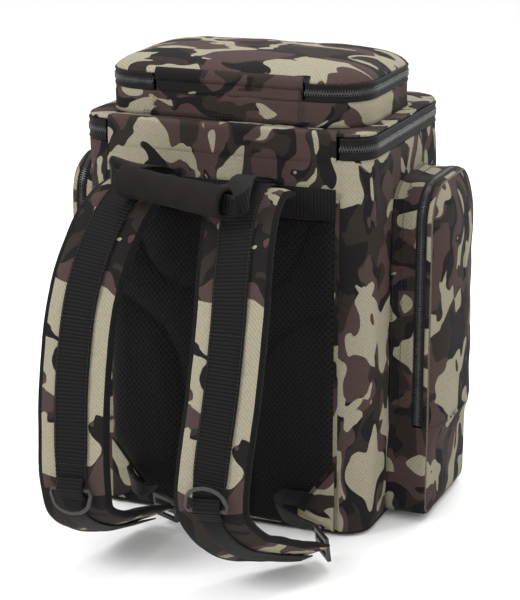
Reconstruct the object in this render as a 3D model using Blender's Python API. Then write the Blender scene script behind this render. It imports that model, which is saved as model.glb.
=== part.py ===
"""A tackle backpack: a box-shaped main compartment with a zipped lid, a zipped pocket on that lid, one zipped
pocket on each side and one in front, a padded back panel, two shoulder straps and a carry handle.

Metres, +Z up. The origin is the middle of the main compartment's base. -Y is the side that the wearer's back
touches, +Y is the front of the bag, and +X is the right-hand side seen from the straps.
"""

import math

import bmesh
import bpy
from mathutils import Matrix, Vector

# Driving dimensions of the main compartment
HALF_WIDTH = 0.168
HALF_DEPTH = 0.134
BACK_RADIUS = 0.032
FRONT_RADIUS = 0.040
WALL = 0.004
RIM_Z = 0.437  # the line where the main zip closes

# Gaps between separate pieces, and the parts of a zip
GAP = 0.0003
ZIP_GAP = 0.0005  # half of the slit between the two rows of teeth
ZIP_THICK = 0.0024
SEW = 0.003  # thickness of a pocket's sewn wall

# Zip on the lid and top pocket
MAIN_TAPE = 0.0115
TOP_TAPE = 0.0090
LID_THICK = 0.004
TOP_HALF_WIDTH = 0.152
TOP_BACK = -0.1125
TOP_FRONT = 0.0855
TOP_RADIUS = 0.050
TOP_ZIP_END = 0.0875
TOP_ZIP_Z = 0.490
CROWN_Z = 0.520

# Pockets that stand on the walls: the tape of their zips and where their flaps are hinged
SIDE_TAPE = 0.0052
FLAP_HINGE_Z = 0.1122
SIDE_BACK = -0.062
SIDE_FRONT = 0.091
SIDE_TOP = 0.386
SIDE_GUSSET = 0.031
FRONT_GUSSET = 0.026
PARK_Z = 0.1250  # where the sliders of the wall pockets rest
FRONT_HALF = 0.115
FRONT_TOP = 0.330
POCKET_FOOT = 0.006
POCKET_RADIUS = 0.045
FOOT_RADIUS = 0.014

# Webbing and straps
WEB = 0.038
WEB_THICK = 0.002
PAD_WIDTH = 0.082
PAD_THICK = 0.013
BAND_LOW = 0.359
BAND_HIGH = 0.3935
BAND_THICK = 0.0025
BACK_PAD_THICK = 0.0117

ARC_STEPS = 5


# ---------------------------------------------------------------- materials


def material(name, colour, roughness, metallic=0.0):
    made = bpy.data.materials.new(name)
    made.use_nodes = True
    shader = made.node_tree.nodes["Principled BSDF"]
    shader.inputs["Base Color"].default_value = (*colour, 1.0)
    shader.inputs["Roughness"].default_value = roughness
    shader.inputs["Metallic"].default_value = metallic
    return made


# ---------------------------------------------------------------- meshes


def add(name, shape, look, origin=(0, 0, 0)):
    """A node from (points, faces) in world coordinates, with its own origin at that point."""
    points, faces = shape
    start = Vector(origin)
    mesh = bpy.data.meshes.new(name)
    mesh.from_pydata([Vector(p) - start for p in points], [], faces)
    work = bmesh.new()
    work.from_mesh(mesh)
    bmesh.ops.recalc_face_normals(work, faces=work.faces)
    work.to_mesh(mesh)
    work.free()
    mesh.shade_smooth()
    mesh.set_sharp_from_angle(angle=math.radians(35))
    return add_object(name, mesh, look, Matrix.Translation(start))


def add_object(name, mesh, look, matrix):
    if look is not None and not mesh.materials:
        mesh.materials.append(look)
    made = bpy.data.objects.new(name, mesh)
    bpy.context.scene.collection.objects.link(made)
    made.matrix_world = matrix
    return made


def cut(target, cutter):
    """Takes cutter away from target. The cutter stays as a hidden helper."""
    cutter.hide_render = True
    cutter.display_type = "WIRE"
    change = target.modifiers.new("cut_" + cutter.name, "BOOLEAN")
    change.operation = "DIFFERENCE"
    change.object = cutter


def rings(levels, loop=False):
    """A closed body through rings of equally many points: capped at both ends, or joined last to first."""
    count = len(levels[0])
    points = [p for level in levels for p in level]
    faces = []
    for i in range(len(levels) if loop else len(levels) - 1):
        a, b = i * count, ((i + 1) % len(levels)) * count
        for j in range(count):
            k = (j + 1) % count
            faces.append((a + j, a + k, b + k, b + j))
    if not loop:
        faces.append(tuple(range(count)))
        faces.append(tuple(range(len(points) - count, len(points))))
    return points, faces


# ---------------------------------------------------------------- flat outlines, in (u, v)


def arc(centre, radius, start, steps=ARC_STEPS):
    """A quarter turn, anticlockwise from start degrees."""
    turns = [math.radians(start + 90 * i / steps) for i in range(steps + 1)]
    return [(centre[0] + radius * math.cos(t), centre[1] + radius * math.sin(t)) for t in turns]


def outline(u0, u1, v0, v1, low, high, inset=0.0):
    """A rounded rectangle, anticlockwise from the start of its corner at (u1, v0). low and high are radii."""
    u0, u1, v0, v1 = u0 + inset, u1 - inset, v0 + inset, v1 - inset
    low, high = max(low - inset, 0.001), max(high - inset, 0.001)
    return (
        arc((u1 - low, v0 + low), low, -90)
        + arc((u1 - high, v1 - high), high, 0)
        + arc((u0 + high, v1 - high), high, 90)
        + arc((u0 + low, v0 + low), low, 180)
    )


def band(path, w0, w1, place, thick=ZIP_THICK):
    """A strip of tape and teeth that follows path. The path is its outer line, and it stands from w0 to w1."""
    levels = []
    for i, (u, v) in enumerate(path):
        before, after = path[max(i - 1, 0)], path[min(i + 1, len(path) - 1)]
        along = Vector((after[0] - before[0], after[1] - before[1])).normalized()
        inner = (u - along.y * thick, v + along.x * thick)
        levels.append([place(u, v, w0), place(u, v, w1), place(*inner, w1), place(*inner, w0)])
    return rings(levels)


# Where a flat outline stands: (u, v, w) to world, w pointing out of the bag


def on_top(u, v, w):
    return (u, v, w)


def on_right(u, v, w):
    return (w, u, v)


def on_left(u, v, w):
    return (-w, u, v)


def on_front(u, v, w):
    return (u, w, v)


def on_back(u, v, w):
    return (u, -w, v)


def prism(shape, w0, w1, place):
    return rings([[place(u, v, w) for u, v in shape] for w in (w0, w1)])


# ---------------------------------------------------------------- main compartment and lid


def main_outline(inset=0.0):
    size = (-HALF_WIDTH, HALF_WIDTH, -HALF_DEPTH, HALF_DEPTH)
    return outline(*size, BACK_RADIUS, FRONT_RADIUS, inset)


def with_raised_back(shape, end, low, high):
    """Adds to a ring the stretch of back wall that stands up to high between the ends of the zip.
    Gives (u, v, w) points."""
    v = shape[0][1]
    edge, step = end - 0.0005, 0.0005
    ring = [(u, q, low) for u, q in shape]
    return ring + [(-edge, v, low), (-edge + step, v, high), (edge - step, v, high), (edge, v, low)]


def main_compartment(camo, board, tape):
    zip_end = HALF_WIDTH - BACK_RADIUS
    wall_top, hinge_top = RIM_Z - ZIP_GAP - MAIN_TAPE - 2 * GAP, RIM_Z + 0.0105
    levels = []
    for inset, low, high in (
        (0.010, 0.0, 0.0),
        (0.003, 0.003, 0.003),
        (0.0, 0.010, 0.010),
        (0.0, wall_top, hinge_top),
        (WALL, wall_top, hinge_top),
        (WALL, WALL, WALL),
    ):
        levels.append(with_raised_back(main_outline(inset), zip_end, low, high))
    add("main_shell", rings(levels), camo)
    add("base_board", prism(main_outline(WALL + 0.003), WALL + GAP, WALL + 0.0025, on_top), board)
    sheet = outline(-0.125, 0.125, 0.010, 0.415, 0.015, 0.015)
    inner = HALF_DEPTH - WALL - GAP
    add("back_stiffener", prism(sheet, inner, inner - 0.0018, on_back), board)
    lower = band(main_outline(), wall_top + GAP, RIM_Z - ZIP_GAP, on_top)
    add("main_zip_lower", lower, tape)


def main_lid(camo, tape):
    hinge = (0, -HALF_DEPTH, RIM_Z + 0.0114)
    top_of_tape = RIM_Z + ZIP_GAP + MAIN_TAPE
    add("main_zip_upper", band(main_outline(), RIM_Z + ZIP_GAP, top_of_tape, on_top), tape, hinge)
    panel = prism(main_outline(0.0005), top_of_tape + GAP, top_of_tape + GAP + LID_THICK, on_top)
    add("main_lid", panel, camo, hinge)
    return top_of_tape + GAP + LID_THICK


def top_outline(inset=0.0):
    size = (-TOP_HALF_WIDTH, TOP_HALF_WIDTH, TOP_BACK, TOP_FRONT)
    return outline(*size, TOP_RADIUS, TOP_RADIUS, inset)


def top_pocket(camo, tape, floor):
    wall_top, hinge_top = TOP_ZIP_Z - ZIP_GAP - TOP_TAPE - GAP, TOP_ZIP_Z + 0.0082
    levels = []
    for inset, low, high in (
        (0.0, floor + GAP, floor + GAP),
        (0.0, wall_top, hinge_top),
        (SEW, wall_top, hinge_top),
        (SEW, floor + GAP, floor + GAP),
    ):
        levels.append(with_raised_back(top_outline(inset), TOP_ZIP_END, low, high))
    add("top_pocket_walls", rings(levels, loop=True), camo, (0, -HALF_DEPTH, RIM_Z + 0.0114))
    path = [(TOP_ZIP_END, TOP_BACK)] + top_outline() + [(-TOP_ZIP_END, TOP_BACK)]
    add("top_zip_lower", band(path, wall_top + GAP, TOP_ZIP_Z - ZIP_GAP, on_top), tape)
    hinge = (0, TOP_BACK, TOP_ZIP_Z + 0.0092)
    edge = TOP_ZIP_Z + ZIP_GAP + TOP_TAPE
    add("top_zip_upper", band(path, TOP_ZIP_Z + ZIP_GAP, edge, on_top), tape, hinge)
    crown = CROWN_Z - edge
    dome = [(0.0, edge + GAP), (0.002, edge + 0.18 * crown), (0.018, edge + 0.6 * crown)]
    dome += [(0.045, edge + 0.9 * crown), (0.075, CROWN_Z)]
    under = [(inset + SEW * 0.5, w - SEW) for inset, w in reversed(dome[1:])]
    under += [(SEW, edge + GAP)]
    levels = [[on_top(u, v, w) for u, v in top_outline(inset)] for inset, w in reversed(dome)]
    levels = list(reversed(levels))
    levels = [[on_top(u, v, dome[0][1]) for u, v in top_outline(SEW)]] + levels
    inner = [[on_top(u, v, w) for u, v in top_outline(inset)] for inset, w in reversed(under[:-1])]
    add("top_pocket_lid", rings(list(reversed(inner)) + levels), camo, hinge)


# ---------------------------------------------------------------- pockets on the walls


def wall_pocket(prefix, span, top, base, gusset, bulge, place, looks):
    """A pocket that stands on a wall: a gusset with a cup below it, a zip, and a flap hinged at FLAP_HINGE_Z."""
    camo, tape = looks
    u0, u1 = span
    open_at = base + gusset
    teeth = open_at + GAP + SIDE_TAPE + ZIP_GAP
    lip = teeth + ZIP_GAP + SIDE_TAPE + GAP
    face = lip + 0.0065
    foot = POCKET_FOOT
    whole = (u0, u1, foot, top, FOOT_RADIUS, POCKET_RADIUS)
    shell = add(prefix + "_pocket_shell", prism(outline(*whole), base + GAP, face, place), camo)
    hollow = prism(outline(*whole, SEW), base - 0.02, face - SEW, place)
    cut(shell, add(prefix + "_hollow_cutter", hollow, None))
    above = outline(u0 - 0.02, u1 + 0.02, FLAP_HINGE_Z - 2 * GAP, top + 0.02, 0.001, 0.001)
    cut(shell, add(prefix + "_mouth_cutter", prism(above, open_at, face + 0.02, place), None))

    path = [(u1, FLAP_HINGE_Z)] + arc((u1 - POCKET_RADIUS, top - POCKET_RADIUS), POCKET_RADIUS, 0)
    path += arc((u0 + POCKET_RADIUS, top - POCKET_RADIUS), POCKET_RADIUS, 90) + [(u0, FLAP_HINGE_Z)]
    hinge = place((u0 + u1) / 2, FLAP_HINGE_Z, face + GAP)
    inner = band(path, open_at + GAP, teeth - ZIP_GAP, place)
    add(prefix + "_zip_inner", inner, tape)
    outer = band(path, teeth + ZIP_GAP, teeth + ZIP_GAP + SIDE_TAPE, place)
    add(prefix + "_zip_outer", outer, tape, hinge)

    flap = (u0, u1, FLAP_HINGE_Z + GAP, top, 0.002, POCKET_RADIUS)
    dome = [(0.0, lip), (0.0, face), (0.006, face + 0.2 * bulge), (0.020, face + 0.55 * bulge)]
    dome += [(0.045, face + 0.9 * bulge), (0.062, face + bulge)]
    under = [(0.063, face + bulge - SEW), (0.046, face + 0.9 * bulge - SEW)]
    under += [(0.021, face + 0.55 * bulge - SEW), (0.008, face + 0.2 * bulge - SEW), (SEW, lip)]
    levels = [[place(u, v, w) for u, v in outline(*flap, inset)] for inset, w in under + dome]
    add(prefix + "_flap", rings(levels), camo, hinge)
    return teeth


# ---------------------------------------------------------------- swept soft parts


def smooth(points, per_span):
    """Catmull-Rom curve through the points, per_span steps for each stretch between two of them."""
    ends = [points[0] * 2 - points[1]] + points + [points[-1] * 2 - points[-2]]
    found = []
    for i in range(1, len(ends) - 2):
        a, b, c, d = ends[i - 1 : i + 3]
        for k in range(per_span):
            t = k / per_span
            square, cube = 2 * a - 5 * b + 4 * c - d, 3 * b - a - 3 * c + d
            found.append(0.5 * (2 * b + (c - a) * t + square * t**2 + cube * t**3))
    return found + [points[-1]]


def flat_section(width, thick, edge):
    """Half outlines of a flat strip: a rectangle whose long edges are rounded when edge is above 0."""
    w, t = width / 2, thick / 2
    if edge <= 0:
        return [(-w, -t), (w, -t), (w, t), (-w, t)]
    inner = w - edge
    right = [(-inner, -t), (inner, -t), (w, -t / 2), (w, t / 2)]
    return right + [(inner, t), (-inner, t), (-w, t / 2), (-w, -t / 2)]


def frames(route, per_span):
    """Places along a route: (centre, across, out, along, width, thick). Each stop of the route is
    (centre, side, width, thick), where side is the way the strip's width runs."""
    centres = smooth([Vector(stop[0]) for stop in route], per_span)
    sides = smooth([Vector(stop[1]) for stop in route], per_span)
    sizes = smooth([Vector((stop[2], stop[3], 0)) for stop in route], per_span)
    found = []
    for i, (centre, side, size) in enumerate(zip(centres, sides, sizes)):
        along = (centres[min(i + 1, len(centres) - 1)] - centres[max(i - 1, 0)]).normalized()
        across = (side - along * side.dot(along)).normalized()
        found.append((centre, across, along.cross(across).normalized(), along, size.x, size.y))
    return found


def strip(places, edge=0.0, lift=0.0, width=None, thick=None):
    """A strip through the places. lift moves it off them along its outer face."""
    levels = []
    for centre, across, out, _, wide, deep in places:
        middle = centre + out * lift
        section = flat_section(width or wide, thick or deep, edge)
        levels.append([middle + across * x + out * y for x, y in section])
    return rings(levels)


def with_size(stops, width, thick):
    return [(centre, side, width, thick) for centre, side in stops]


def mirrored(stops):
    """The stops on the other side. Each keeps its outer face outside."""
    return [((-c[0], *c[1:]), (s[0], -s[1], -s[2])) for c, s in stops]


# The middle of a shoulder pad, from its root on the back panel over its arch to its lower end, right-hand side
UPPER_STOPS = [
    ((0.052, -0.1462, 0.3840), (1.0, 0.00, 0.0)),
    ((0.056, -0.1650, 0.3920), (1.0, -0.02, 0.0)),
    ((0.062, -0.2050, 0.3955), (1.0, -0.04, 0.0)),
    ((0.070, -0.2480, 0.3760), (1.0, -0.04, 0.0)),
    ((0.078, -0.2820, 0.3340), (1.0, -0.02, 0.0)),
    ((0.083, -0.3040, 0.2850), (1.0, 0.0, 0.0)),
    ((0.083, -0.3240, 0.2150), (1.0, 0.0, 0.0)),
    ((0.079, -0.3380, 0.1500), (1.0, 0.0, 0.0)),
    ((0.077, -0.3410, 0.1050), (1.0, 0.0, 0.0)),
]
RIGHT_END = [
    ((0.0850, -0.3340, 0.0780), (0.92, -0.15, 0.38), 0.082),
    ((0.0980, -0.3110, 0.0540), (0.78, -0.35, 0.55), 0.080),
    ((0.1130, -0.2800, 0.0390), (0.66, -0.50, 0.58), 0.074),
    ((0.1310, -0.2510, 0.0285), (0.60, -0.55, 0.56), 0.064),
    ((0.1480, -0.2270, 0.0230), (0.50, -0.65, 0.52), 0.052),
]
LEFT_END = [
    ((-0.0740, -0.3340, 0.0740), (0.95, -0.15, 0.32), 0.082),
    ((-0.0640, -0.2990, 0.0510), (0.84, -0.30, 0.46), 0.078),
    ((-0.0590, -0.2420, 0.0350), (0.80, -0.36, 0.50), 0.070),
    ((-0.0530, -0.1980, 0.0250), (0.84, -0.38, 0.42), 0.052),
]
PER_SPAN = 2
RING_PLACE = 8 * PER_SPAN  # the D-ring hangs at this place of the strap

# The D-ring: half its bar, how far its bow reaches, and its wire
RING_HALF = 0.0215
RING_REACH = 0.0265
RING_WIRE = 0.0022
RING_STEPS = 8

# Ladder lock: a plate with two slots, (half length along its bars, half height, thickness)
LOCK_HALF = 0.0190
LOCK_HEIGHT = 0.0135
LOCK_THICK = 0.0040
STRAP_WEB = 0.025


def closed_tube(path, normal, radius, sides):
    """A round bar along a closed path that lies square to normal."""
    levels = []
    turns = [2 * math.pi * k / sides for k in range(sides)]
    for i, point in enumerate(path):
        along = path[(i + 1) % len(path)] - path[i - 1]
        across = along.cross(normal).normalized()
        levels.append([point + (across * math.cos(t) + normal * math.sin(t)) * radius for t in turns])
    return rings(levels, loop=True)


def d_ring(bar, across, reach):
    """The closed bow of a D-ring. bar is the middle of its straight side, reach the way its bow points."""
    path = [bar - across * RING_HALF, bar, bar + across * RING_HALF]
    path.append(bar + across * (RING_HALF + 0.0015) + reach * 0.006)
    for k in range(RING_STEPS + 1):
        t = math.pi * k / RING_STEPS
        path.append(bar + across * RING_HALF * math.cos(t) + reach * (0.010 + (RING_REACH - 0.010) * math.sin(t)))
    path.append(bar - across * (RING_HALF + 0.0015) + reach * 0.006)
    return closed_tube(path, across.cross(reach), RING_WIRE, 8)


def sleeve(middle, across, out, along, half, tail):
    """A folded tab round a bar: a thick-walled sleeve with a flat tail sewn to the strap."""
    hole, wall = RING_WIRE + 0.0005, 0.0016
    turns = [2 * math.pi * k / 12 for k in range(12)]
    ring = [(hole * math.cos(t), hole * math.sin(t)) for t in turns]
    skin = [(x * (hole + wall) / hole, y * (hole + wall) / hole) for x, y in ring]
    low = -(hole + wall)
    skin[6] = (-tail, low + 0.0018)
    skin[7] = (-tail, low)
    skin[8] = (-tail * 0.5, low)
    skin[9] = (0.0, low)

    def at(x, y, side):
        return middle + along * x + out * y + across * side

    levels = [[at(x, y, -half) for x, y in skin], [at(x, y, half) for x, y in skin]]
    levels += [[at(x, y, half) for x, y in ring], [at(x, y, -half) for x, y in ring]]
    return rings(levels, loop=True)


def strap(side, looks):
    """One shoulder strap with its webbing, D-ring and tab. side is 1 on the right and -1 on the left."""
    camo, webbing, plastic = looks
    name = "right" if side > 0 else "left"
    stops = UPPER_STOPS if side > 0 else mirrored(UPPER_STOPS)
    end = RIGHT_END if side > 0 else LEFT_END
    end = [(*stop, PAD_THICK) for stop in end]
    places = frames(with_size(stops, PAD_WIDTH, PAD_THICK) + end, PER_SPAN)
    add(name + "_strap_pad", strip(places, edge=0.005), camo)
    lift = PAD_THICK / 2 + WEB_THICK / 2 + 5 * GAP
    add(name + "_strap_webbing", strip(places[2 : RING_PLACE], 0, lift, WEB, WEB_THICK), webbing)
    centre, across, out, along = places[RING_PLACE][:4]
    bar = centre + out * (PAD_THICK / 2 + RING_WIRE + 0.0005 + 0.0016 + 2 * GAP)
    add(name + "_d_ring_tab", sleeve(bar, across, out, along, 0.0150, 0.011), webbing)
    if side > 0:
        reach = (-along * 0.985 + out * 0.17).normalized()
    else:
        reach = (Vector((0, 0, -1)) - across * across.dot(Vector((0, 0, -1)))).normalized()
    add(name + "_d_ring", d_ring(bar, across, reach), plastic, bar)
    lower = places[RING_PLACE + 1 : -1]
    add(name + "_lower_webbing", strip(lower, 0, lift + 2 * GAP, STRAP_WEB, WEB_THICK), webbing)


def lattice(us, vs, gaps, w0, w1, place):
    """A plate made of cells between the lines us and vs, without the cells named in gaps."""
    solid = {(i, j) for i in range(len(us) - 1) for j in range(len(vs) - 1)} - set(gaps)
    points, index, faces = [], {}, []

    def corner(i, j, w):
        key = (i, j, w)
        if key not in index:
            index[key] = len(points)
            points.append(place(us[i], vs[j], w))
        return index[key]

    for i, j in sorted(solid):
        square = [(i, j), (i + 1, j), (i + 1, j + 1), (i, j + 1)]
        for w in (w0, w1):
            faces.append([corner(*c, w) for c in square])
        beside = [(i, j - 1), (i + 1, j), (i, j + 1), (i - 1, j)]
        for k, other in enumerate(beside):
            if other not in solid:
                a, b = square[k], square[(k + 1) % 4]
                faces.append([corner(*a, w0), corner(*b, w0), corner(*b, w1), corner(*a, w1)])
    return points, faces


def ladder_lock(name, foot, along, up, plastic):
    """A plate with two slots that stands on its lower bar at foot. along is the way of its bars."""
    normal = along.cross(up).normalized()

    def at(u, v, w):
        return foot + along * u + up * v + normal * w

    us = [-LOCK_HALF, -LOCK_HALF + 0.0035, LOCK_HALF - 0.0035, LOCK_HALF]
    vs = [0.0, 0.0040, 0.0105, 0.0150, 0.0220, 0.0265]
    half = LOCK_THICK / 2
    add(name, lattice(us, vs, [(1, 1), (1, 3)], -half, half, at), plastic, foot + up * 0.002)


# The webbing between each ladder lock and its anchor wing
RIGHT_LOOP = [
    ((0.1080, -0.1425, 0.0380), (0.45, 0.0, 0.89)),
    ((0.0960, -0.1480, 0.0440), (0.45, -0.30, 0.84)),
    ((0.0840, -0.1600, 0.0470), (0.20, -0.50, 0.84)),
    ((0.0830, -0.1760, 0.0440), (-0.10, -0.45, 0.88)),
    ((0.0960, -0.1860, 0.0390), (-0.10, -0.45, 0.88)),
    ((0.1190, -0.1960, 0.0380), (0.10, -0.60, 0.79)),
    ((0.1350, -0.1990, 0.0400), (0.30, -0.80, 0.52)),
]
LEFT_LOOP = [
    ((-0.1080, -0.1425, 0.0380), (-0.45, 0.0, 0.89)),
    ((-0.1030, -0.1540, 0.0440), (-0.45, 0.20, 0.87)),
    ((-0.0970, -0.1700, 0.0460), (-0.30, 0.10, 0.94)),
    ((-0.0860, -0.1800, 0.0430), (-0.05, -0.30, 0.95)),
    ((-0.0760, -0.1800, 0.0400), (0.20, -0.50, 0.84)),
    ((-0.0640, -0.1700, 0.0420), (0.45, -0.70, 0.55)),
]


def wings(camo, webbing, plastic):
    """Triangular anchors at the foot of the back panel, their webbing and the ladder locks."""
    base = HALF_DEPTH + GAP
    shape = [(0.1350, 0.079), (0.0960, 0.030), (0.1000, 0.022), (0.1350, 0.006)]
    add("right_anchor_wing", prism(shape, base, base + 0.0035, on_back), camo)
    add("left_anchor_wing", prism([(-u, v) for u, v in shape], base, base + 0.0035, on_back), camo)
    for name, stops in (("right", RIGHT_LOOP), ("left", LEFT_LOOP)):
        places = frames(with_size(stops, STRAP_WEB, WEB_THICK), PER_SPAN)
        add(name + "_adjuster_webbing", strip(places), webbing)
    along = Vector((0.62, -0.78, 0)).normalized()
    up = Vector((-0.10, -0.08, 1.0)).normalized()
    ladder_lock("right_ladder_lock", Vector((0.1520, -0.2140, 0.0125)), along, square_to(up, along), plastic)
    along = Vector((0.90, -0.43, 0)).normalized()
    up = Vector((-0.05, -0.10, 1.0)).normalized()
    ladder_lock("left_ladder_lock", Vector((-0.0460, -0.1830, 0.0125)), along, square_to(up, along), plastic)


def square_to(direction, axis):
    return (direction - axis * direction.dot(axis)).normalized()


# ---------------------------------------------------------------- back panel and handle


def back_panel(mesh_pad, webbing):
    base = HALF_DEPTH + GAP
    shape = [(0.1320, 0.3570), (-0.1320, 0.3570), (-0.1320, 0.0830), (-0.0915, 0.0300)]
    shape += [(-0.0915, 0.0085), (0.0915, 0.0085), (0.0915, 0.0300), (0.1320, 0.0830)]
    middle = (0.0, 0.190)
    levels = []
    for w, scale in ((base, 1.0), (base + 0.0045, 1.0), (base + 0.0095, 0.94), (base + BACK_PAD_THICK, 0.78)):
        level = [(middle[0] + (u - middle[0]) * scale, middle[1] + (v - middle[1]) * scale) for u, v in shape]
        levels.append([on_back(u, v, w) for u, v in level])
    add("back_pad", rings(levels), mesh_pad)
    edge = 0.1335
    shape = [(edge, BAND_HIGH), (-edge, BAND_HIGH), (-edge, BAND_LOW), (edge, BAND_LOW)]
    add("back_top_band", prism(shape, base, base + BAND_THICK, on_back), webbing)


GRIP_CENTRE = Vector((0.0014, -0.2600, 0.4070))
GRIP_WAY = Vector((0.1256, -0.0226, -0.0084)).normalized()
GRIP_LENGTH = 0.128
GRIP_RADIUS = 0.0165
GRIP_BORE = 0.0125
HANDLE_HINGE = Vector((0.0, -0.1370, 0.3975))
HANDLE_STOPS = [
    ((0.0500, -0.1375, 0.3985), (1.0, 0.0, 0.0), 0.034, 0.002),
    ((0.0500, -0.1660, 0.4075), (1.0, 0.0, 0.0), 0.034, 0.002),
    ((0.0570, -0.2050, 0.4120), (0.95, -0.1, 0.25), 0.034, 0.002),
    ((0.0740, -0.2420, 0.4130), (0.65, 0.0, 0.75), 0.028, 0.0025),
    ((0.0850, -0.2610, 0.4080), (0.1, 0.0, 1.0), 0.022, 0.003),
    ((0.0785, -0.2735, 0.4025), (0.0, 0.0, 1.0), 0.020, 0.004),
    ((0.0610, -0.2708, 0.4030), (0.0, 0.0, 1.0), 0.019, 0.004),
    ((-0.0580, -0.2493, 0.4110), (0.0, 0.0, 1.0), 0.019, 0.004),
    ((-0.0750, -0.2430, 0.4125), (0.0, 0.0, 1.0), 0.020, 0.004),
    ((-0.0830, -0.2260, 0.4165), (-0.3, 0.1, 1.0), 0.020, 0.003),
    ((-0.0800, -0.1980, 0.4165), (-0.9, 0.0, 0.35), 0.030, 0.002),
    ((-0.0700, -0.1650, 0.4085), (-1.0, 0.0, 0.0), 0.034, 0.002),
    ((-0.0660, -0.1375, 0.3985), (-1.0, 0.0, 0.0), 0.034, 0.002),
]


def handle(webbing, foam):
    add("handle_webbing", strip(frames(HANDLE_STOPS, PER_SPAN)), webbing, HANDLE_HINGE)
    up = Vector((0, 0, 1))
    across = GRIP_WAY.cross(up).normalized()
    up = across.cross(GRIP_WAY)
    turns = [2 * math.pi * k / 16 for k in range(16)]

    def circle(t, radius):
        at = GRIP_CENTRE + GRIP_WAY * t
        return [at + (across * math.cos(a) + up * math.sin(a)) * radius for a in turns]

    half = GRIP_LENGTH / 2
    levels = [circle(-half, GRIP_RADIUS - 0.002), circle(-half + 0.003, GRIP_RADIUS)]
    levels += [circle(half - 0.003, GRIP_RADIUS), circle(half, GRIP_RADIUS - 0.002)]
    levels += [circle(half, GRIP_BORE), circle(-half, GRIP_BORE)]
    add("handle_grip", rings(levels, loop=True), foam, HANDLE_HINGE)


# ---------------------------------------------------------------- zip sliders and their pulls

PLATE_HALF = 0.0049  # half a slider's plate, square to the slit
SLIDER_HALF = 0.0080  # half a slider's length along the slit
BAIL_HEIGHT = 0.0042
PULL_LENGTH = 0.028
PULL_PIN = 0.0026 + 0.0016  # how far out of the zip's face a pull's pin is


def slider(name, at, out, slit, metal):
    """A slider on the slit of a zip at a point of the zip's outer face: two plates joined by a neck, and a bail
    for its pull. Gives the middle of the pull's pin."""
    square = out.cross(slit)
    side = out.cross(Vector((0, 0, -1)))
    hang = Vector((0, 0, -1))
    o1, o2, h, n = 0.0003, 0.0023, PLATE_HALF, 0.0002
    i1, i2 = -ZIP_THICK - 0.0003, -ZIP_THICK - 0.0018
    outline_points = [(h, o1), (h, o2), (-h, o2), (-h, o1), (-n, o1), (-n, i1)]
    outline_points += [(-h, i1), (-h, i2), (h, i2), (h, i1), (n, i1), (n, o1)]
    levels = []
    for t in (-SLIDER_HALF, SLIDER_HALF):
        levels.append([at + slit * t + square * s + out * w for s, w in outline_points])
    body = add(name, rings(levels), metal, at)

    def bail_at(t, w, s):
        return at + hang * t + out * w + side * s

    low, top = 0.0012, 0.0026 + BAIL_HEIGHT
    outer = [(-0.0030, low), (-0.0030, top - 0.0010), (-0.0020, top)]
    outer += [(0.0020, top), (0.0030, top - 0.0010), (0.0030, low)]
    inner = [(-0.0017, low), (-0.0017, top - 0.0018), (-0.0013, top - 0.0011)]
    inner += [(0.0013, top - 0.0011), (0.0017, top - 0.0018), (0.0017, low)]
    shape = outer + list(reversed(inner))
    arch = rings([[bail_at(t, w, s) for t, w in shape] for s in (-0.0011, 0.0011)])
    tool = add(name + "_bail_tool", arch, metal)
    tool.hide_render = True
    tool.display_type = "WIRE"
    join = body.modifiers.new("bail", "BOOLEAN")
    join.operation = "UNION"
    join.object = tool
    return at + out * PULL_PIN


def pull(name, pin, out, metal):
    """A flat pull that hangs from its pin."""
    side = out.cross(Vector((0, 0, -1)))
    hang = Vector((0, 0, -1))

    def at(u, v, w):
        return pin + side * u + hang * v + out * w

    us = [-0.0040, -0.0022, 0.0022, 0.0040]
    vs = [-0.0006, 0.0006, 0.0070, PULL_LENGTH]
    add(name, lattice(us, vs, [(1, 1)], -0.0007, 0.0007, at), metal, pin)


def sliders(metal):
    front, right, left = Vector((0, 1, 0)), Vector((1, 0, 0)), Vector((-1, 0, 0))
    across, up = Vector((1, 0, 0)), Vector((0, 0, 1))
    teeth_side = HALF_WIDTH + SIDE_GUSSET + GAP + SIDE_TAPE + ZIP_GAP
    teeth_front = HALF_DEPTH + FRONT_GUSSET + GAP + SIDE_TAPE + ZIP_GAP
    places = [
        ("main_right", Vector((0.0095, HALF_DEPTH, RIM_Z)), front, across),
        ("main_left", Vector((-0.0095, HALF_DEPTH, RIM_Z)), front, across),
        ("top_right", Vector((0.0095, TOP_FRONT, TOP_ZIP_Z)), front, across),
        ("top_left", Vector((-0.0095, TOP_FRONT, TOP_ZIP_Z)), front, across),
        ("right_side", Vector((teeth_side, SIDE_FRONT, PARK_Z)), front, up),
        ("left_side", Vector((-teeth_side, SIDE_FRONT, PARK_Z)), front, up),
        ("front", Vector((FRONT_HALF, teeth_front, PARK_Z)), right, up),
    ]
    for name, at, out, slit in places:
        pin = slider(name + "_slider", at, out, slit, metal)
        pull(name + "_pull", pin, out, metal)


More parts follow.
